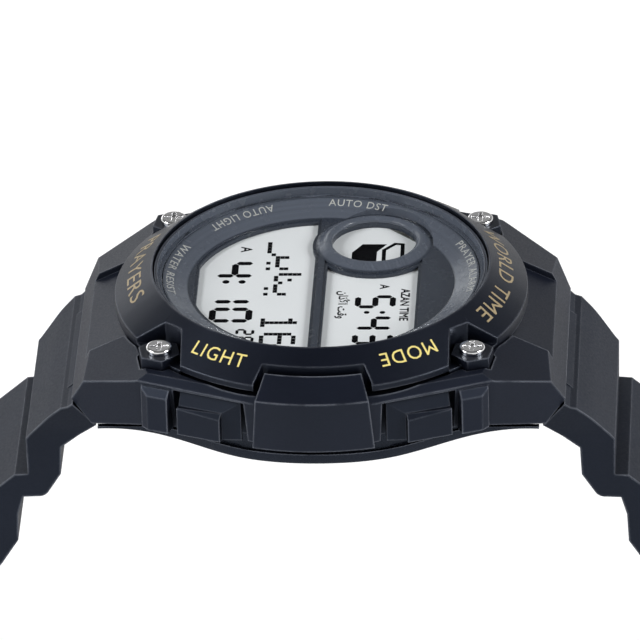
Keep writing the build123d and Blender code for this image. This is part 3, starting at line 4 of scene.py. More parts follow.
import bmesh
import bpy
from mathutils import Matrix, Vector
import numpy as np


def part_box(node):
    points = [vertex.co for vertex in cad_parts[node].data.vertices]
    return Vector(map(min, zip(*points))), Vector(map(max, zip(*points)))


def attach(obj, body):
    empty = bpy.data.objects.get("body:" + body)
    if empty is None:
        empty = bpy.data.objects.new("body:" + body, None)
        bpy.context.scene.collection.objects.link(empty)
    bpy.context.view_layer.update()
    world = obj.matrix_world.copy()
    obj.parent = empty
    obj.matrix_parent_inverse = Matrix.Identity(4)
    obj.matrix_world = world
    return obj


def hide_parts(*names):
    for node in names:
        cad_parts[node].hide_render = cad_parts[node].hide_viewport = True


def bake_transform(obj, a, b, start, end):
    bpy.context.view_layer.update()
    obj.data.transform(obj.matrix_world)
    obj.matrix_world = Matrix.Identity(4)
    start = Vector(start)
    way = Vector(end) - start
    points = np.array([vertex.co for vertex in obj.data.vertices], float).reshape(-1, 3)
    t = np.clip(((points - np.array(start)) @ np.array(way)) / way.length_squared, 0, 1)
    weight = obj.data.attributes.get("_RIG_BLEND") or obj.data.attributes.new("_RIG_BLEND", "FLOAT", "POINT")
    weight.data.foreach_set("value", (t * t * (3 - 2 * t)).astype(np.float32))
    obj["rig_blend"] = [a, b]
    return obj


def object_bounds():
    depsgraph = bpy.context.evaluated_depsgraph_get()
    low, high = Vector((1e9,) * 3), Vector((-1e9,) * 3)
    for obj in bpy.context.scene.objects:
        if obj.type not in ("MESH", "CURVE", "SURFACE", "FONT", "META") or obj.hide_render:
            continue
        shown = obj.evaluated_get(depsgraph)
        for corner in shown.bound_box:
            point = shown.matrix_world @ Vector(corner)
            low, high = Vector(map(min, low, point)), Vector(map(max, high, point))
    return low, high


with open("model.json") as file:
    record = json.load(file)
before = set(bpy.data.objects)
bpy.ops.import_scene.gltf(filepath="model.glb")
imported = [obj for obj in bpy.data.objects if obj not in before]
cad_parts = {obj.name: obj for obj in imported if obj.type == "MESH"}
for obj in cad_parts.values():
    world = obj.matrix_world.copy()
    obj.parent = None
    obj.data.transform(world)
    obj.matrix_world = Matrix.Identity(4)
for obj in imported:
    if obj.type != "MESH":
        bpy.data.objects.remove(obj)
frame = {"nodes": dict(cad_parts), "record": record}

bl_info = {
    "name": "Digital Wristwatch",
    "version": (1, 0, 0),
    "blender": (4, 5, 0),
    "location": "3D View > Sidebar > Watch",
    "description": "Dresses the watch solids with moulded resin, printed legends and a display",
    "category": "Add Mesh",
}

MM = 0.001
NODES = frame["nodes"]
RECORD = frame["record"]
CAD_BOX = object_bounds()
BODY_OF = {node: body for body, members in RECORD["behaviour"]["bodies"].items()
           for node in members}
SLOT_OF = {part["node"]: part["material_slot"] for part in RECORD["subparts"]}
PLACES = ("upper_right", "lower_right", "upper_left", "lower_left")
MADE = {}                         # finishes made so far, by name

# Where the printed words lie, in mm.
CONE_TOP_R = 18.05                # radius at which the bezel's cone starts
CONE_SLOPE = atan2(2.9, 3.95)     # how steeply it falls
DIAL_RISE, DIAL_RUN = 1.1, 2.45   # height and width of the dial's sloping edge
DIAL_WORDS_IN = 0.72              # middle of the dial's words, in from the mask's rim
DIAL_WORDS_DOWN = 0.52            # the same, in from the top of the slope

RING_SPACING = 1.12               # letter spacing of the words that follow a circle
LETTER_STEP = 0.03                # longest edge of such a letter, as a share of the radius
CAP_SHARE = 0.72                  # cap height of the built-in font, as a share of its size

# Where a colour changes on a solid, in metres: from none of it to all of it.
THROAT_R = (0.01790, 0.01780)     # the inner case's wall round the dial, by radius
THROAT_Z = (0.01235, 0.01245)     # and by height
SLOPE_Z = (0.01151, 0.01158)      # the dial above its window bars

RESIN_TINT = (0.66, 0.78, 1.0)    # colour of the resin's gloss
EDGE_HIGHLIGHT_AND_WEAR = (0.125, 0.135, 0.160)    # resin on edges: a painted highlight, with some rubbed wear
DRIFT_SIZE = 0.009                # size of the resin's slow drift in colour, metres,
DUST_SIZE = 0.0011                # of its dust,
PATCH_SIZE = 0.0022               # and of the patches in which its edges carry painted highlight and wear
PAINTED_SHADE_REACH = 0.0016               # how far the painted shade in seams and creases reaches, metres

WELD = 2e-6                       # corners of a solid closer than this are one, metres
FLAT = 0.7                        # faces that turn by less than this are one, degrees
END_TURNS = 0.25                  # share of a button spring, at each end, that keeps its pitch

FLOOR_HALF, FLOOR_STEPS = 3.0, 6  # half the floor's side in metres, squares along it
FLOOR_GAP = 0.00002               # between the part and the floor, metres
GLOW_R = (0.20, 1.20)             # the floor's own white grows between these radii, metres,
GLOW = (0.45, 1.0)                # from the first strength to the second
SENSOR_WIDTH = 36.0               # of the camera, mm


# ---------------------------------------------------------------- settings
def length(name, default, description):
    return bpy.props.FloatProperty(name=name, default=default, description=description,
                                   unit="LENGTH", precision=5, min=0.0)


def angle(name, default, description):
    return bpy.props.FloatProperty(name=name, default=radians(default), description=description,
                                   subtype="ANGLE")


def colour(name, default, description):
    return bpy.props.FloatVectorProperty(name=name, default=default, description=description,
                                         subtype="COLOR", size=3, min=0.0, max=1.0)


def share(name, default, description):
    return bpy.props.FloatProperty(name=name, default=default, description=description,
                                   subtype="FACTOR", min=0.0, max=1.0)


class WatchResin(bpy.types.PropertyGroup):
    shell: colour("Shell", (0.0055, 0.0070, 0.0135), "Colour of the outer shell and guards")
    bezel: colour("Bezel", (0.0040, 0.0050, 0.0095), "Colour of the bezel ring")
    strap: colour("Strap", (0.0070, 0.0090, 0.0160), "Colour of the strap and keeper")
    button: colour("Buttons", (0.0050, 0.0065, 0.0120), "Colour of the push buttons")
    inner: colour("Inner case", (0.0055, 0.0070, 0.0125), "Colour of the smooth inner case")
    edge: length("Edge rounding", 0.00016, "Radius of the moulded edges of the shell")
    fine_edge: length("Fine edge rounding", 0.00010, "Radius of the moulded edges of small pieces")
    grain: length("Grain", 0.00022, "Size of the moulded surface grain")


class WatchPrint(bpy.types.PropertyGroup):
    gold: colour("Gold", (0.82, 0.69, 0.23), "Colour of the large bezel legends")
    pale: colour("Pale gold", (0.33, 0.26, 0.15), "Colour of the other bezel legends")
    dial: colour("Dial legends", (0.46, 0.45, 0.42), "Colour of the legends under the crystal")
    thickness: length("Thickness", 0.00003, "Height of the printed legends")
    dial_size: length("Dial legend height", 0.00092, "Letter height under the crystal")


class WatchDisplay(bpy.types.PropertyGroup):
    ground: colour("Ground", (0.78, 0.78, 0.78), "Colour of the unlit display")
    segment: colour("Segments", (0.004, 0.004, 0.005), "Colour of the switched on segments")
    dial: colour("Dial slope", (0.090, 0.100, 0.125), "Colour of the dial's slope and its ring")
    bars: colour("Dial bars", (0.030, 0.036, 0.050), "Colour of the bars between the windows")
    hours: bpy.props.StringProperty(name="Time", default="4:10",
                                    description="Main display's time, with a one digit hour")
    alarm: bpy.props.StringProperty(name="Call", default="5:43",
                                    description="Small display's time, with a one digit hour")


class WatchMetal(bpy.types.PropertyGroup):
    chrome: colour("Chrome", (0.92, 0.92, 0.93), "Colour of the bezel screws")
    steel: colour("Steel", (0.56, 0.56, 0.57), "Colour of the case back and buckle")
    gilt: colour("Gilt", (0.72, 0.53, 0.24), "Colour of the contact springs")


class WatchStudio(bpy.types.PropertyGroup):
    azimuth: angle("Azimuth", 93.333, "Camera direction, from the 6 o'clock side toward 3 o'clock")
    elevation: angle("Elevation", 29.34, "Camera height above the horizon")
    roll: angle("Roll", -1.646, "Camera roll about its view axis")
    distance: length("Distance", 1.163, "From the camera to the centre of the bezel's rim")
    lens: bpy.props.FloatProperty(name="Lens", default=615.2, description="Focal length",
                                  unit="CAMERA")
    drop: length("Aim below", 0.00605, "How far below the rim's centre the camera aims")
    aside: length("Aim aside", 0.00007, "How far left of the rim's centre the camera aims")
    floor: colour("Floor", (0.66, 0.66, 0.66), "Colour of the floor")
    middle: share("Upper wall", 0.45, "Brightness of the room above the horizon")
    ceiling: share("Ceiling", 0.12, "Brightness of the ceiling")


GROUPS = {"watch_resin": WatchResin, "watch_print": WatchPrint, "watch_display": WatchDisplay,
          "watch_metal": WatchMetal, "watch_studio": WatchStudio}


# ---------------------------------------------------------------- material nodes
class Recipe:
    """A material and short calls that add nodes to it."""

    def __init__(self, name):
        self.material = bpy.data.materials.new(name)
        self.material.use_nodes = True
        self.tree = self.material.node_tree
        self.tree.nodes.clear()
        self.output = self.tree.nodes.new("ShaderNodeOutputMaterial")

    def add(self, kind, settings=None, **inputs):
        node = self.tree.nodes.new("ShaderNode" + kind)
        for key, value in (settings or {}).items():
            setattr(node, key, value)
        for key, value in inputs.items():
            self.plug(node, key.replace("_", " "), value)
        return node

    def plug(self, node, key, value):
        """Sets or links a socket, given by its name or as i and its number."""
        numbered = key[0] == "i" and key[1:].isdigit()
        socket = node.inputs[int(key[1:]) if numbered else key]
        if isinstance(value, bpy.types.NodeSocket):
            self.tree.links.new(value, socket)
        elif isinstance(value, (tuple, list)) and len(value) == 3 and socket.type == "RGBA":
            socket.default_value = (*value, 1.0)
        else:
            socket.default_value = value

    def place(self):
        return self.add("TexCoord").outputs["Object"]

    def noise(self, size, detail=2.0, roughness=0.5, stretch=None):
        vector = self.place()
        if stretch:
            vector = self.add("Mapping", Vector=vector, Scale=stretch).outputs[0]
        return self.add("TexNoise", Vector=vector, Scale=1.0 / size, Detail=detail,
                        Roughness=roughness).outputs["Fac"]

    def ramp(self, value, low, high, to_low=0.0, to_high=1.0):
        """The value's place between low and high, as one between to_low and to_high."""
        return self.add("MapRange", Value=value, From_Min=low, From_Max=high,
                        To_Min=to_low, To_Max=to_high).outputs[0]

    def times(self, a, b):
        return self.add("Math", {"operation": "MULTIPLY"}, i0=a, i1=b).outputs[0]

    def plus(self, a, b):
        return self.add("Math", {"operation": "ADD"}, i0=a, i1=b).outputs[0]

    def height(self):
        """Height above the frame's origin."""
        return self.add("SeparateXYZ", Vector=self.place()).outputs[2]

    def radius(self):
        """Distance from the dial's axis."""
        split = self.add("SeparateXYZ", Vector=self.place()).outputs
        square = self.plus(self.times(split[0], split[0]), self.times(split[1], split[1]))
        return self.add("Math", {"operation": "SQRT"}, i0=square).outputs[0]

    def turned(self, fineness, detail):
        """Noise in rings round the dial's axis, as a lathe leaves it."""
        ring = self.add("CombineXYZ", X=self.radius()).outputs[0]
        return self.add("TexNoise", Vector=ring, Scale=fineness, Detail=detail).outputs["Fac"]

    def mix(self, factor, a, b):
        node = self.add("Mix", {"data_type": "RGBA"})
        self.plug(node, "i0", factor)
        self.plug(node, "i6", a)
        self.plug(node, "i7", b)
        return node.outputs[2]

    def bump(self, height, distance, strength=1.0):
        return self.add("Bump", Height=height, Distance=distance, Strength=strength).outputs[0]

    def edge_mask(self, radius):
        """1 along sharp edges, 0 on open faces."""
        open_face, sharp_edge = 0.995, 0.90
        rounded = self.add("Bevel", {"samples": 6}, Radius=radius).outputs[0]
        plain = self.add("NewGeometry").outputs["Normal"]
        match = self.add("VectorMath", {"operation": "DOT_PRODUCT"}, i0=rounded, i1=plain)
        return self.ramp(match.outputs["Value"], open_face, sharp_edge)

    def finish(self, **inputs):
        shader = self.add("BsdfPrincipled", **inputs)
        self.tree.links.new(shader.outputs[0], self.output.inputs[0])
        return self.material


def shade(rgb, factor):
    return tuple(min(1.0, c * factor) for c in rgb)


def moulded_resin(name, rgb, rough, gloss, edge_sheen_and_wear_width, grain, throat=None):
    """Satin moulded resin: fine grain, slow colour drift, a painted highlight with some wear along edges,
    and painted shade in seams and creases.

    The throat, where it is given, is the colour of the wall round the dial.
    """
    r = Recipe(name)
    drift = r.noise(DRIFT_SIZE, detail=3.0)
    speck = r.noise(grain)
    patches = r.ramp(r.noise(PATCH_SIZE, detail=4.0), 0.20, 0.48)
    # Ambient occlusion, used to paint shade into seams, creases and hollows.
    painted_crease_shade = r.add("AmbientOcclusion", {"samples": 6}, Distance=PAINTED_SHADE_REACH).outputs["AO"]
    # Edges lightened in patches: a painted highlight that is partly rubbed wear, kept out of the creases.
    edge_sheen_and_wear = r.times(r.edge_mask(edge_sheen_and_wear_width), patches)
    edge_sheen_and_wear = r.times(edge_sheen_and_wear, r.ramp(painted_crease_shade, 0.72, 0.92))
    body = r.mix(r.ramp(drift, 0.3, 0.7), shade(rgb, 0.86), shade(rgb, 1.16))
    body = r.mix(edge_sheen_and_wear, body, EDGE_HIGHLIGHT_AND_WEAR)
    dust = r.ramp(r.noise(DUST_SIZE, 5.0, 0.7), 0.60, 0.78, 0.0, 0.05)
    body = r.mix(dust, body, shade(rgb, 2.2))
    # Painted shade: seams, creases and hollows darkened towards a fifth of the colour where ambient
    # occlusion finds them.
    body = r.mix(r.ramp(painted_crease_shade, 0.25, 0.75), shade(rgb, 0.20), body)
    if throat:
        inside = r.times(r.ramp(r.radius(), *THROAT_R), r.ramp(r.height(), *THROAT_Z))
        body = r.mix(inside, body, throat)
    uneven = r.ramp(speck, 0.3, 0.7, rough - 0.05, rough + 0.05)
    roughness = r.plus(uneven, r.times(edge_sheen_and_wear, -0.10))
    bump = r.bump(speck, grain * 0.10, 0.35)
    return r.finish(Base_Color=body, Roughness=roughness, Specular_IOR_Level=gloss,
                    Specular_Tint=RESIN_TINT, Normal=bump)


def dial_finish(name, slope, flat):
    """Dial moulding: paler above the window bars, with faint turned lines."""
    r = Recipe(name)
    fine = r.noise(0.0012, detail=3.0)
    marks = r.turned(3000.0, 2.0)
    pale = r.mix(r.ramp(marks, 0.35, 0.65), shade(slope, 0.88), shade(slope, 1.10))
    body = r.mix(r.ramp(r.height(), *SLOPE_Z), flat, pale)
    return r.finish(Base_Color=body, Roughness=r.ramp(fine, 0.3, 0.7, 0.20, 0.30),
                    Specular_IOR_Level=0.4, Normal=r.bump(marks, 0.000006, 0.5))


def plain_finish(name, rgb, rough, metallic=0.0, grain=0.0003, depth=0.04, gloss=0.5,
                 stretch=None):
    """A finish with a little grain and drift in colour and gloss; depth is a share of the grain."""
    r = Recipe(name)
    fine = r.noise(grain, 3.0, 0.55, stretch)
    slow = r.ramp(r.noise(0.004, 2.0), 0.3, 0.7)
    body = r.mix(slow, shade(rgb, 0.90), shade(rgb, 1.08))
    roughness = r.ramp(fine, 0.3, 0.7, max(0.02, rough - 0.06), rough + 0.06)
    return r.finish(Base_Color=body, Roughness=roughness, Metallic=metallic,
                    Specular_IOR_Level=gloss, Normal=r.bump(fine, grain * depth, 0.5))


def turned_steel(name, rgb):
    """Steel plate with fine concentric tool marks."""
    r = Recipe(name)
    marks = r.turned(16000.0, 3.0)
    body = r.mix(r.ramp(marks, 0.3, 0.7), shade(rgb, 0.85), shade(rgb, 1.1))
    rough = r.ramp(marks, 0.3, 0.7, 0.22, 0.38)
    return r.finish(Base_Color=body, Metallic=1.0, Roughness=rough,
                    Normal=r.bump(marks, 0.000004, 0.6))


def clear_crystal(name):
    """Mineral glass that shows the dial in its true place, with bright reflections."""
    r = Recipe(name)
    smear = r.ramp(r.noise(0.006, 3.0), 0.4, 0.7, 0.015, 0.05)
    gloss = r.add("BsdfGlossy", Color=(0.96, 0.98, 1.0), Roughness=smear)
    clear = r.add("BsdfTransparent", Color=(0.97, 0.98, 0.985))
    outside = r.ramp(r.add("NewGeometry").outputs["Backfacing"], 0.0, 1.0, 0.12, 0.0)
    factor = r.times(r.add("Fresnel", IOR=1.45).outputs[0], outside)
    blend = r.add("MixShader", i0=factor, i1=clear.outputs[0], i2=gloss.outputs[0])
    r.tree.links.new(blend.outputs[0], r.output.inputs[0])
    return r.material


def display_ground(name, rgb):
    """Pale and almost even ground of the liquid crystal display, without gloss."""
    r = Recipe(name)
    slow = r.ramp(r.noise(0.012), 0.3, 0.7)
    fine = r.noise(0.00012)
    body = r.mix(slow, shade(rgb, 0.965), shade(rgb, 1.02))
    return r.finish(Base_Color=body, Roughness=r.ramp(fine, 0.3, 0.7, 0.75, 0.85),
                    Specular_IOR_Level=0.0, Normal=r.bump(fine, 0.000002, 0.4))


# ---------------------------------------------------------------- mesh helpers
def link(mesh, name):
    piece = bpy.data.objects.new(name, mesh)
    bpy.context.scene.collection.objects.link(piece)
    return piece


def paint(piece, material):
    piece.data.materials.clear()
    piece.data.materials.append(material)
    return piece


def mesh_of(shape, name):
    """A smooth mesh of a bmesh, without the normals and sharp marks of the solid it came from."""
    mesh = bpy.data.meshes.new(name)
    shape.to_mesh(mesh)
    shape.free()
    old_marks = ("custom_normal", "sharp_face", "sharp_edge")
    for layer in [a for a in mesh.attributes if a.name in old_marks]:
        mesh.attributes.remove(layer)
    mesh.shade_smooth()
    return mesh


def stands_for(piece, node, material):
    """The piece takes the place and the body of a node, and is painted with the given material."""
    paint(piece, material)
    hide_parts(node)
    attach(piece, BODY_OF[node])
    return piece


def belongs(piece, body, material):
    """The piece is one of the scene's own: it is painted and rides on a body."""
    paint(piece, material)
    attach(piece, body)
    return piece


def round_edges(piece, width, limit, segments):
    """Rounds the edges that turn by more than the limit, in degrees."""
    bevel = piece.modifiers.new("edges", "BEVEL")
    bevel.limit_method = "ANGLE"
    bevel.angle_limit = radians(limit)
    bevel.width = width
    bevel.segments = segments
    bevel.use_clamp_overlap = True
    bevel.miter_outer = "MITER_ARC"
    weigh = piece.modifiers.new("flats", "WEIGHTED_NORMAL")
    weigh.weight = 100
    weigh.keep_sharp = True


def solid_of(node):
    """A node's solid as a bmesh with its faces joined at their corners."""
    shape = bmesh.new()
    shape.from_mesh(NODES[node].data)
    bmesh.ops.remove_doubles(shape, verts=shape.verts, dist=WELD)
    return shape


def dressed(node, material, width, limit, segments=3):
    """A copy of a node's solid with rounded edges, in its place."""
    shape = solid_of(node)
    bmesh.ops.dissolve_limit(shape, angle_limit=radians(FLAT), verts=shape.verts,
                             edges=shape.edges)
    bmesh.ops.recalc_face_normals(shape, faces=shape.faces)
    piece = link(mesh_of(shape, node + "_moulding"), node + "_moulding")
    round_edges(piece, width, limit, segments)
    return stands_for(piece, node, material)


def dress_all(pieces, context):
    """Dresses nodes, each with its finish, edge rounding (m), least angle (degrees), segments."""
    for node, look, width, limit, segments in pieces:
        dressed(node, finish(look, context), width, limit, segments)


def slab(outline, shape):
    """Adds a plan outline (mm) to a bmesh, as a prism as thick as the display's marks."""
    z0, z1 = DISPLAY_Z
    low = [shape.verts.new((x * MM, y * MM, z0 * MM)) for x, y in outline]
    high = [shape.verts.new((x * MM, y * MM, z1 * MM)) for x, y in outline]
    count = len(outline)
    shape.faces.new(high)
    shape.faces.new(low[::-1])
    for i in range(count):
        n = (i + 1) % count
        shape.faces.new((low[i], low[n], high[n], high[i]))


# ---------------------------------------------------------------- lettering
def word_mesh(text, size, thickness, spacing=1.0, bold=0.0):
    """A word as a thin solid mesh, centred on its middle. The size is its capitals' height."""
    curve = bpy.data.curves.new(text, "FONT")
    curve.body = text
    curve.align_x = "CENTER"
    curve.align_y = "CENTER"
    curve.size = size / CAP_SHARE
    curve.space_character = spacing
    curve.offset = bold
    curve.extrude = thickness / 2
    curve.resolution_u = 3
    holder = bpy.data.objects.new(text, curve)
    bpy.context.scene.collection.objects.link(holder)
    bpy.context.view_layer.update()
    drawn = holder.evaluated_get(bpy.context.evaluated_depsgraph_get())
    mesh = bpy.data.meshes.new_from_object(drawn)
    bpy.data.objects.remove(holder)
    bpy.data.curves.remove(curve)
    return mesh


def cut_fine(shape, step):
    """Splits long edges so that a word can follow a curved face."""
    for _ in range(3):
        edges = [e for e in shape.edges if e.calc_length() > step]
        if not edges:
            break
        bmesh.ops.triangulate(shape, faces=shape.faces)
        edges = [e for e in shape.edges if e.calc_length() > step]
        bmesh.ops.subdivide_edges(shape, edges=edges, cuts=1)


def round_the_dial(name, text, size, middle, span, radius, height, slope, inward, thickness):
    """A word that follows a circle on a cone. Lengths in metres, middle and span in degrees."""
    mesh = word_mesh(text, size, thickness, RING_SPACING)
    shape = bmesh.new()
    shape.from_mesh(mesh)
    bpy.data.meshes.remove(mesh)
    cut_fine(shape, radius * LETTER_STEP)
    turn = 1.0 if inward else -1.0
    width = max(v.co.x for v in shape.verts) - min(v.co.x for v in shape.verts)
    stretch = radians(span) * radius / width
    for v in shape.verts:
        x, y, z = v.co
        out = -y if inward else y
        r = radius + out * cos(slope) + z * sin(slope)
        a = radians(middle) + turn * x * stretch / radius
        v.co = (r * cos(a), r * sin(a), height - out * sin(slope) + z * cos(slope))
    bmesh.ops.recalc_face_normals(shape, faces=shape.faces)
    made = bpy.data.meshes.new(name)
    shape.to_mesh(made)
    shape.free()
    return link(made, name)


# ---------------------------------------------------------------- display characters
# Lengths in this section are in mm, unless they say metres.
DISPLAY_Z = (10.881, 10.893)      # bottom and top of the display's marks
SEGMENT_TIP = 0.42                # length of a segment's point, as a share of its width
SEGMENT_GAP = 0.12                # how far its ends are cut back, as a share of its width
DOT_FILL = 0.47                   # half a matrix dot, as a share of the pitch
PEN = 0.42                        # width of the pictogram's line
PEN_OVERRUN = 0.3                 # how far it runs past a corner, as a share of its width
LABEL_BOLD = 0.00003              # how far the labels' outlines are moved outward, metres

# Segments: a top, b upper right, c lower right, d bottom, e lower left, f upper left, g middle.
SEGMENTS = {"0": "abcdef", "1": "bc", "2": "abged", "3": "abgcd", "4": "fgbc", "5": "afgcd",
            "6": "afgedc", "7": "abc", "8": "abcdefg", "9": "abcdfg"}

# Lower left corner, width, height and segment width of each digit.
TIME_DIGITS = ((-5.8, -11.7, 3.4, 4.6, 0.72), (0.0, -11.7, 3.2, 4.6, 0.72),
               (4.1, -11.7, 3.2, 4.6, 0.72))
SECOND_DIGITS = ((8.7, -8.7, 1.25, 2.0, 0.32), (10.3, -8.7, 1.25, 2.0, 0.32))
CALL_DIGITS = ((1.45, 3.70, 2.8, 4.34, 0.63), (6.0, 3.70, 2.8, 4.34, 0.63),
               (9.55, 3.70, 2.5, 4.34, 0.63))
SECONDS = "26"

# Middle and radius of the colons' dots.
TIME_COLON = ((-1.45, -10.26, 0.38), (-1.45, -8.53, 0.38))
CALL_COLON = ((5.13, 5.03, 0.3), (5.13, 6.71, 0.3))

# The month's name and the day, as runs of dots: column, row, columns, rows.
MONTH_RUNS = ((0, 0, 4, 1), (4, 1, 1, 1), (5, 2, 1, 3), (6, 2, 3, 1), (9, 3, 1, 2),
              (7, 0, 1, 1), (9, 0, 1, 1), (11, 3, 1, 5), (12, 2, 2, 1), (14, 3, 1, 1),
              (13, 5, 1, 1), (15, 2, 3, 1), (18, 3, 1, 2), (16, 0, 1, 1), (18, 0, 1, 1))
DAY_RUNS = ((27, 0, 3, 1), (28, 1, 1, 7), (27, 6, 1, 1), (32, 1, 1, 6), (33, 0, 3, 1),
            (33, 7, 3, 1), (36, 1, 1, 3), (33, 4, 3, 1))
DATE_START = (-9.8, -5.915)       # middle of the dot at column 0, row 0
DATE_PITCH = (0.612, 0.4875)      # from dot to dot

# "Time of the call" in joined Arabic letter shapes, left to right as drawn.
CALL_ARABIC = "ﻥﺍﺫﻷﺍ ﺖﻗﻭ"

# The call to prayer's pictogram: the cube's outline and its lid.
CUBE = ((-9.64, 4.03), (-7.81, 2.94), (-5.0, 2.97), (-5.0, 5.61), (-7.99, 5.61), (-9.63, 6.62))
LID = ((-8.36, 6.36), (-5.0, 6.40), (-5.0, 8.37), (-9.63, 8.32), (-9.73, 7.51), (-8.36, 6.36))


def bar(x0, y0, x1, y1, w, shape):
    """A pointed segment between two points."""
    d = Vector((x1 - x0, y1 - y0)).normalized()
    n = Vector((-d.y, d.x)) * (w / 2)
    a, b = Vector((x0, y0)), Vector((x1, y1))
    tip = d * (w * SEGMENT_TIP)
    slab([tuple(p) for p in (a, a + tip - n, b - tip - n, b, b - tip + n, a + tip + n)], shape)


def digit(char, x, y, w, h, t, shape):
    """A seven segment digit with its lower left corner at (x, y)."""
    gap = t * SEGMENT_GAP
    x0, x1 = x + t / 2, x + w - t / 2
    y0, y1, y2 = y + t / 2, y + h / 2, y + h - t / 2
    lines = {"a": (x0, y2, x1, y2), "g": (x0, y1, x1, y1), "d": (x0, y0, x1, y0),
             "f": (x0, y1, x0, y2), "b": (x1, y1, x1, y2),
             "e": (x0, y0, x0, y1), "c": (x1, y0, x1, y1)}
    for key in SEGMENTS[char]:
        ax, ay, bx, by = lines[key]
        dx, dy = (gap, 0.0) if ay == by else (0.0, gap)
        bar(ax + dx, ay + dy, bx - dx, by - dy, t, shape)


def dot(x, y, r, shape):
    slab([(x + r * cos(radians(a)), y + r * sin(radians(a))) for a in range(0, 360, 15)], shape)


def clock(text, digits, colon, shape):
    """A time as its hour, its colon and its minutes."""
    hour, minute = text.split(":")
    digit(hour, *digits[0], shape)
    for place in colon:
        dot(*place, shape)
    for char, place in zip(minute, digits[1:]):
        digit(char, *place, shape)


def cell_runs(runs, shape):
    """Dot matrix marks from (column, row, columns, rows) runs."""
    (x, y), (px, py) = DATE_START, DATE_PITCH
    gx, gy = px * DOT_FILL, py * DOT_FILL
    for c, r, wide, high in runs:
        for i in range(wide):
            for k in range(high):
                x0 = x + (c + i) * px
                y0 = y + (r + k) * py
                slab([(x0 - gx, y0 - gy), (x0 + gx, y0 - gy),
                      (x0 + gx, y0 + gy), (x0 - gx, y0 + gy)], shape)


def stroke(points, shape):
    """A pen line of constant width through points."""
    path = [Vector(p) for p in points]
    for a, b in zip(path, path[1:]):
        d = (b - a).normalized()
        n = Vector((-d.y, d.x)) * (PEN / 2)
        e = d * (PEN * PEN_OVERRUN)
        slab([tuple(p) for p in (a - e - n, b + e - n, b + e + n, a - e + n)], shape)


# ---------------------------------------------------------------- finishes
def finish(name, context):
    """A material by its name, made when it is first asked for. A node's is often its slot's."""
    if name in MADE:
        return MADE[name]
    scene = context.scene
    resin, metal = scene.watch_resin, scene.watch_metal
    display, words = scene.watch_display, scene.watch_print
    grain = resin.grain
    # Resins: colour, roughness, gloss, width of the edges' painted highlight and wear (m), grain (m).
    # Plain finishes: colour, roughness, metallic, grain (m), depth.
    makers = {
        "resin_shell": lambda: moulded_resin(name, resin.shell, 0.46, 0.34, 0.00035, grain),
        "resin_bezel": lambda: moulded_resin(name, resin.bezel, 0.34, 0.34, 0.00030, grain * 0.7),
        "resin_strap": lambda: moulded_resin(name, resin.strap, 0.52, 0.32, 0.00040, grain * 1.2),
        "button_resin": lambda: moulded_resin(name, resin.button, 0.36, 0.34, 0.00025, grain * 0.8),
        "resin_inner": lambda: moulded_resin(name, resin.inner, 0.26, 0.40, 0.00025, grain * 0.6,
                                             throat=tuple(display.dial)),
        "chrome": lambda: plain_finish(name, metal.chrome, 0.11, 1.0, 0.0005, 0.012),
        "steel": lambda: plain_finish(name, metal.steel, 0.30, 1.0, 0.00012, 0.03,
                                      stretch=(1, 12, 12)),
        "turned_steel": lambda: turned_steel(name, metal.steel),
        "crystal": lambda: clear_crystal(name),
        "seal_rubber": lambda: plain_finish(name, (0.012, 0.012, 0.013), 0.55),
        "dial_plastic": lambda: dial_finish(name, tuple(display.dial), tuple(display.bars)),
        "polariser": lambda: display_ground(name, display.ground),
        "segments": lambda: plain_finish(name, display.segment, 0.9, gloss=0.0),
        "lcd": lambda: plain_finish(name, (0.30, 0.33, 0.31), 0.10, depth=0.0),
        "guide": lambda: plain_finish(name, (0.72, 0.76, 0.78), 0.30),
        "lamp": lambda: plain_finish(name, (0.80, 0.70, 0.30), 0.35),
        "conductive_rubber": lambda: plain_finish(name, (0.05, 0.05, 0.055), 0.6,
                                                  stretch=(1, 30, 1)),
        "module_plastic": lambda: plain_finish(name, (0.60, 0.60, 0.57), 0.45),
        "board": lambda: plain_finish(name, (0.02, 0.13, 0.05), 0.35, grain=0.0006),
        "epoxy": lambda: plain_finish(name, (0.012, 0.012, 0.014), 0.18, grain=0.001),
        "contact_metal": lambda: plain_finish(name, metal.gilt, 0.28, 1.0),
        "insulator": lambda: plain_finish(name, (0.55, 0.38, 0.10), 0.35, gloss=0.4),
        "gold_print": lambda: plain_finish(name, words.gold, 0.38, grain=0.00015, depth=0.05),
        "pale_print": lambda: plain_finish(name, words.pale, 0.42, grain=0.00015, depth=0.05),
        "dial_print": lambda: plain_finish(name, words.dial, 0.45, grain=0.00012, depth=0.05),
    }
    MADE[name] = makers[name]()
    return MADE[name]


def finish_node(node, context):
    """Gives a shown CAD node the finish of its slot."""
    paint(NODES[node], finish(SLOT_OF[node], context))


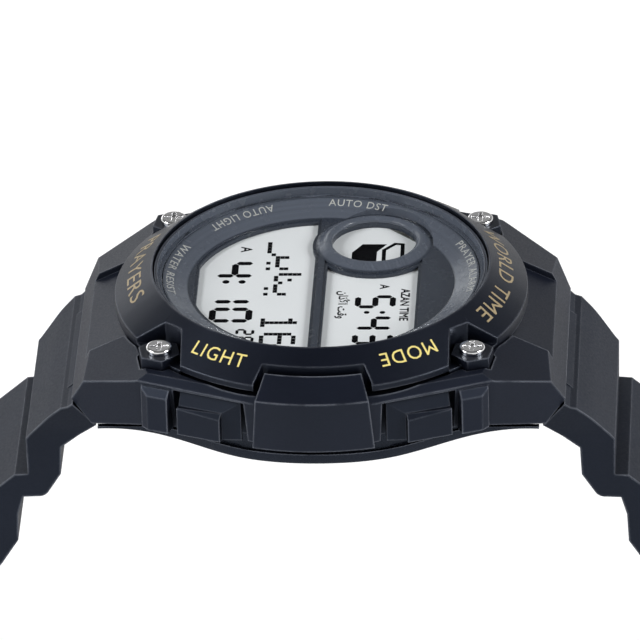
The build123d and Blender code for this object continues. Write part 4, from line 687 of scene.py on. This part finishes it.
# ---------------------------------------------------------------- operators
class WATCH_OT_stage(bpy.types.Operator):
    """Floor, room light, soft lamps and camera"""
    bl_idname = "watch.stage"
    bl_label = "Stage"

    def execute(self, context):
        studio = context.scene.watch_studio
        self.floor(studio)
        self.room(context, studio)
        for lamp in self.lamps():
            self.lamp(context, *lamp)
        self.camera(context, studio)
        context.scene.view_settings.view_transform = "Standard"
        return {"FINISHED"}

    def floor(self, studio):
        """Pale paper that shows whiter to the camera with distance and is clear from below."""
        level = CAD_BOX[0][2] - FLOOR_GAP
        lines = [FLOOR_HALF * (2 * i / FLOOR_STEPS - 1) for i in range(FLOOR_STEPS + 1)]
        shape = bmesh.new()
        grid = [[shape.verts.new((x, y, level)) for x in lines] for y in lines]
        for near, far in zip(grid, grid[1:]):
            for i in range(FLOOR_STEPS):
                shape.faces.new((near[i], near[i + 1], far[i + 1], far[i]))
        floor = link(mesh_of(shape, "floor"), "floor")
        r = Recipe("floor_paper")
        path = r.add("LightPath").outputs
        seen = r.plus(path["Is Camera Ray"], path["Is Transmission Ray"])
        speck = r.ramp(r.noise(0.004), 0.3, 0.7, 0.99, 1.0)
        tint = r.mix(speck, shade(studio.floor, 0.97), tuple(studio.floor))
        paper = r.add("BsdfDiffuse", Color=tint)
        strength = r.times(r.ramp(seen, 0.0, 1.0), r.ramp(r.radius(), *GLOW_R, *GLOW))
        glow = r.add("Emission", Color=(1.0, 1.0, 1.0), Strength=strength)
        both = r.add("AddShader", i0=paper.outputs[0], i1=glow.outputs[0])
        under = r.add("NewGeometry").outputs["Backfacing"]
        clear = r.add("BsdfTransparent", Color=(1.0, 1.0, 1.0))
        side = r.add("MixShader", i0=under, i1=both.outputs[0], i2=clear.outputs[0])
        r.tree.links.new(side.outputs[0], r.output.inputs[0])
        paint(floor, r.material)

    def room(self, context, studio):
        """A pale horizon that falls off to a dim ceiling. The camera sees plain white."""
        world = bpy.data.worlds.new("room")
        context.scene.world = world
        world.use_nodes = True
        tree = world.node_tree
        tree.nodes.clear()
        add, join = tree.nodes.new, tree.links.new
        split = add("ShaderNodeSeparateXYZ")
        join(add("ShaderNodeTexCoord").outputs["Generated"], split.inputs[0])
        ramp = add("ShaderNodeValToRGB")
        join(split.outputs["Z"], ramp.inputs[0])
        stops = ramp.color_ramp.elements
        stops[0].position, stops[0].color = 0.0, (1.0, 1.0, 1.0, 1.0)
        stops[1].position, stops[1].color = 1.0, (studio.ceiling,) * 3 + (1.0,)
        # How far up each stop is, from 0 at the horizon to 1 overhead, and its brightness.
        for place, level in ((0.12, 1.0), (0.34, studio.middle), (0.62, studio.ceiling)):
            stops.new(place).color = (level, level, level, 1.0)
        room, backdrop = add("ShaderNodeBackground"), add("ShaderNodeBackground")
        join(ramp.outputs[0], room.inputs["Color"])
        backdrop.inputs["Color"].default_value = (1.0, 1.0, 1.0, 1.0)
        blend = add("ShaderNodeMixShader")
        join(add("ShaderNodeLightPath").outputs["Is Camera Ray"], blend.inputs[0])
        join(room.outputs[0], blend.inputs[1])
        join(backdrop.outputs[0], blend.inputs[2])
        join(blend.outputs[0], add("ShaderNodeOutputWorld").inputs[0])

    def lamps(self):
        """Name, place, width and height (m) and power (W) of each soft lamp."""
        return (("left_box", (0.30, -0.95, 0.60), 0.50, 0.50, 11.0),
                ("right_box", (0.30, 0.95, 0.60), 0.50, 0.50, 11.0),
                ("back_box", (-1.05, -0.55, 0.42), 0.8, 0.35, 1.3))

    def lamp(self, context, name, place, width, height, power):
        """A soft lamp that faces the part."""
        data = bpy.data.lights.new(name, "AREA")
        data.shape = "RECTANGLE"
        data.size, data.size_y, data.energy = width, height, power
        lamp = bpy.data.objects.new(name, data)
        lamp.location = place
        lamp.rotation_euler = Vector(place).to_track_quat("Z", "Y").to_euler()
        context.scene.collection.objects.link(lamp)

    def camera(self, context, studio):
        a, e = studio.azimuth, studio.elevation
        back = Vector((sin(a) * cos(e), -cos(a) * cos(e), sin(e)))
        right = Vector((cos(a), sin(a), 0.0))
        up = back.cross(right)
        up, right = (up * cos(studio.roll) - right * sin(studio.roll),
                     right * cos(studio.roll) + up * sin(studio.roll))
        rim = Vector((0.0, 0.0, CAD_BOX[1][2]))
        place = rim + back * studio.distance
        z = (place - (rim - up * studio.drop - right * studio.aside)).normalized()
        x = up.cross(z).normalized()
        y = z.cross(x)
        data = bpy.data.cameras.new("camera")
        data.lens, data.sensor_width = studio.lens, SENSOR_WIDTH
        camera = bpy.data.objects.new("camera", data)
        camera.matrix_world = Matrix.Translation(place) @ Matrix((x, y, z)).transposed().to_4x4()
        context.scene.collection.objects.link(camera)
        context.scene.camera = camera


class WATCH_OT_shell(bpy.types.Operator):
    """Outer shell with lugs, shoulders, button frames and guards"""
    bl_idname = "watch.shell"
    bl_label = "Case shell"

    def execute(self, context):
        edge = context.scene.watch_resin.edge
        dressed("case_shell", finish("resin_shell", context), edge, 22.0)
        return {"FINISHED"}


class WATCH_OT_bezel(bpy.types.Operator):
    """Bezel ring and its four cross head screws"""
    bl_idname = "watch.bezel"
    bl_label = "Bezel"

    def execute(self, context):
        edge = context.scene.watch_resin.fine_edge
        dressed("bezel_ring", finish("resin_bezel", context), edge, 22.0)
        dressed("bezel_screws", finish("chrome", context), edge * 0.5, 30.0)
        return {"FINISHED"}


class WATCH_OT_bezel_legends(bpy.types.Operator):
    """Printed words round the bezel's cone"""
    bl_idname = "watch.bezel_legends"
    bl_label = "Bezel legends"

    # Word, middle and span (degrees), radius and letter height (mm), top toward the dial, print.
    WORDS = (("LIGHT", -30.3, 18.4, 20.00, 1.60, True, "gold_print"),
             ("MODE", 30.5, 18.8, 19.75, 1.60, False, "gold_print"),
             ("WORLD TIME", 90.0, 56.5, 19.65, 1.95, False, "pale_print"),
             ("PRAYERS", -94.5, 40.0, 20.0, 1.95, True, "pale_print"),
             ("ADJUST", -150.5, 21.0, 20.2, 1.7, True, "pale_print"),
             ("START", 151.0, 20.0, 20.2, 1.7, False, "pale_print"))

    def execute(self, context):
        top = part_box("bezel_ring")[1].z
        words = context.scene.watch_print
        for text, middle, span, radius, size, inward, ink in self.WORDS:
            name = "legend_" + text.lower().replace(" ", "_")
            height = top - (radius - CONE_TOP_R) * MM * tan(CONE_SLOPE)
            piece = round_the_dial(name, text, size * MM, middle, span, radius * MM, height,
                                   CONE_SLOPE, inward, words.thickness)
            belongs(piece, "head", finish(ink, context))
        return {"FINISHED"}


class WATCH_OT_crystal(bpy.types.Operator):
    """Mineral crystal and the gasket round it"""
    bl_idname = "watch.crystal"
    bl_label = "Crystal"

    def execute(self, context):
        dress_all((("crystal", "crystal", 0.00004, 30.0, 1),
                   ("crystal_gasket", "dial_plastic", 0.00004, 30.0, 2)), context)
        return {"FINISHED"}


class WATCH_OT_dial(bpy.types.Operator):
    """Dial mask with its windows and the raised round ring"""
    bl_idname = "watch.dial"
    bl_label = "Dial"

    def execute(self, context):
        dress_all((("dial_mask", "dial_plastic", 0.00012, 24.0, 3),
                   ("round_window_ring", "dial_plastic", 0.00008, 24.0, 3)), context)
        return {"FINISHED"}


class WATCH_OT_dial_legends(bpy.types.Operator):
    """Small printed words round the dial's sloping edge"""
    bl_idname = "watch.dial_legends"
    bl_label = "Dial legends"

    # Word, middle and span (degrees), top toward the dial's middle.
    WORDS = (("WATER RESIST", -96.0, 38.0, True), ("PRAYER ALARM", 98.0, 38.0, False),
             ("AUTO DST", 168.0, 23.0, False), ("AUTO LIGHT", -145.0, 28.0, True))

    def execute(self, context):
        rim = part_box("dial_mask")[1]
        words = context.scene.watch_print
        slope = -atan2(DIAL_RISE, DIAL_RUN)
        radius = rim.x / MM - DIAL_WORDS_IN
        height = rim.z - DIAL_WORDS_DOWN * DIAL_RISE / DIAL_RUN * MM
        for text, middle, span, inward in self.WORDS:
            name = "dial_" + text.lower().replace(" ", "_")
            piece = round_the_dial(name, text, words.dial_size, middle, span, radius * MM, height,
                                   slope, inward, words.thickness)
            belongs(piece, "head", finish("dial_print", context))
        return {"FINISHED"}


class WATCH_OT_display(bpy.types.Operator):
    """Display glass and the switched on segments, dots and signs"""
    bl_idname = "watch.display"
    bl_label = "Display"

    # Name, text, letter height and middle (mm).
    LABELS = (("label_a_low", "A", 1.2, -8.5, -8.45), ("label_a_high", "A", 1.0, -0.4, 6.68),
              ("label_call", "AZAN TIME", 0.95, 3.5, 8.95),
              ("label_call_arabic", CALL_ARABIC, 0.95, 3.5, 2.35))

    def execute(self, context):
        for node in ("front_polariser", "lcd_glass"):
            finish_node(node, context)
        display = context.scene.watch_display
        for name, draw in (("time_segments", self.time), ("date_dots", self.date),
                           ("call_segments", self.call), ("prayer_sign", self.sign)):
            shape = bmesh.new()
            draw(shape, display)
            self.mark(mesh_of(shape, name), name, context)
        bottom, top = DISPLAY_Z
        for name, text, size, x, y in self.LABELS:
            mesh = word_mesh(text, size * MM, (top - bottom) * MM, bold=LABEL_BOLD)
            mesh.transform(Matrix.Translation((x * MM, y * MM, (bottom + top) / 2 * MM)))
            self.mark(mesh, name, context)
        return {"FINISHED"}

    def mark(self, mesh, name, context):
        belongs(link(mesh, name), "head", finish("segments", context))

    def time(self, shape, display):
        clock(display.hours, TIME_DIGITS, TIME_COLON, shape)
        for char, place in zip(SECONDS, SECOND_DIGITS):
            digit(char, *place, shape)

    def date(self, shape, display):
        cell_runs(MONTH_RUNS + DAY_RUNS, shape)

    def call(self, shape, display):
        clock(display.alarm, CALL_DIGITS, CALL_COLON, shape)

    def sign(self, shape, display):
        slab(CUBE, shape)
        stroke(LID, shape)


class WATCH_OT_buttons(bpy.types.Operator):
    """Four push buttons with their stems, seals, clips and springs"""
    bl_idname = "watch.buttons"
    bl_label = "Buttons"

    def execute(self, context):
        edge = context.scene.watch_resin.fine_edge
        for place in PLACES:
            dressed("button_cap_" + place, finish("button_resin", context), edge, 20.0)
            for piece in ("stem", "seal", "clip"):
                finish_node(f"button_{piece}_{place}", context)
            self.spring(place, context)
        return {"FINISHED"}

    def spring(self, place, context):
        """A coil that shortens with its button: its ends stay with the case and the cap."""
        node = "button_spring_" + place
        coil = link(mesh_of(solid_of(node), node + "_coil"), node + "_coil")
        paint(coil, finish(SLOT_OF[node], context))
        joint = next(j for j in RECORD["behaviour"]["joints"] if j["name"] == "press_" + place)
        out = -Vector(joint["axis"])
        reach = [v.co.dot(out) for v in coil.data.vertices]
        end_turns = END_TURNS * (max(reach) - min(reach))
        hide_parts(node)
        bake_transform(coil, "head", "button_" + place, start=out * (min(reach) + end_turns),
                 end=out * (max(reach) - end_turns))


class WATCH_OT_case(bpy.types.Operator):
    """Inner case, case back, its gasket and screws"""
    bl_idname = "watch.case"
    bl_label = "Inner case and back"

    def execute(self, context):
        dress_all((("inner_case", "resin_inner", 0.00006, 34.0, 2),
                   ("case_back", "turned_steel", 0.00008, 30.0, 2),
                   ("case_back_screws", "steel", 0.00005, 30.0, 2)), context)
        finish_node("case_back_gasket", context)
        return {"FINISHED"}


class WATCH_OT_strap(bpy.types.Operator):
    """Both strap halves, the keeper and the spring bars"""
    bl_idname = "watch.strap"
    bl_label = "Strap"

    def execute(self, context):
        edge = context.scene.watch_resin.edge
        for node in ("strap_12", "strap_6", "keeper_loop"):
            dressed(node, finish("resin_strap", context), edge * 1.2, 22.0)
        for node in ("spring_bar_12", "spring_bar_6"):
            finish_node(node, context)
        return {"FINISHED"}


class WATCH_OT_buckle(bpy.types.Operator):
    """Buckle frame, its pin and the prong"""
    bl_idname = "watch.buckle"
    bl_label = "Buckle"

    def execute(self, context):
        dress_all((("buckle_frame", "steel", 0.00022, 26.0, 3),
                   ("buckle_prong", "steel", 0.00016, 26.0, 3),
                   ("buckle_pin", "steel", 0.0001, 26.0, 3)), context)
        return {"FINISHED"}


class WATCH_OT_module(bpy.types.Operator):
    """Everything inside the case"""
    bl_idname = "watch.module"
    bl_label = "Module"

    def execute(self, context):
        for node in ("light_guide", "backlight_lamp", "rubber_connectors", "module_frame",
                     "circuit_board", "side_contacts", "main_chip", "battery", "battery_contact",
                     "battery_clamp", "quartz_crystal", "sounder_coil", "insulator_sheet",
                     "buzzer_disc", "buzzer_springs"):
            finish_node(node, context)
        return {"FINISHED"}


class WATCH_PT_panel(bpy.types.Panel):
    """Builds the watch piece by piece"""
    bl_idname = "WATCH_PT_panel"
    bl_label = "Digital Wristwatch"
    bl_space_type = "VIEW_3D"
    bl_region_type = "UI"
    bl_category = "Watch"

    def draw(self, context):
        for name, group in GROUPS.items():
            box = self.layout.box()
            for field in group.__annotations__:
                box.prop(getattr(context.scene, name), field)
        for operator in OPERATORS:
            self.layout.operator(operator.bl_idname)


OPERATORS = (WATCH_OT_stage, WATCH_OT_shell, WATCH_OT_bezel, WATCH_OT_bezel_legends,
             WATCH_OT_crystal, WATCH_OT_dial, WATCH_OT_dial_legends, WATCH_OT_display,
             WATCH_OT_buttons, WATCH_OT_case, WATCH_OT_strap, WATCH_OT_buckle, WATCH_OT_module)
CLASSES = tuple(GROUPS.values()) + OPERATORS + (WATCH_PT_panel,)


def register():
    for cls in CLASSES:
        bpy.utils.register_class(cls)
    for name, group in GROUPS.items():
        setattr(bpy.types.Scene, name, bpy.props.PointerProperty(type=group))


def unregister():
    for name in GROUPS:
        delattr(bpy.types.Scene, name)
    for cls in reversed(CLASSES):
        bpy.utils.unregister_class(cls)


def main():
    register()
    for operator in OPERATORS:
        family, name = operator.bl_idname.split(".")
        getattr(getattr(bpy.ops, family), name)()


if __name__ == "__main__":
    main()
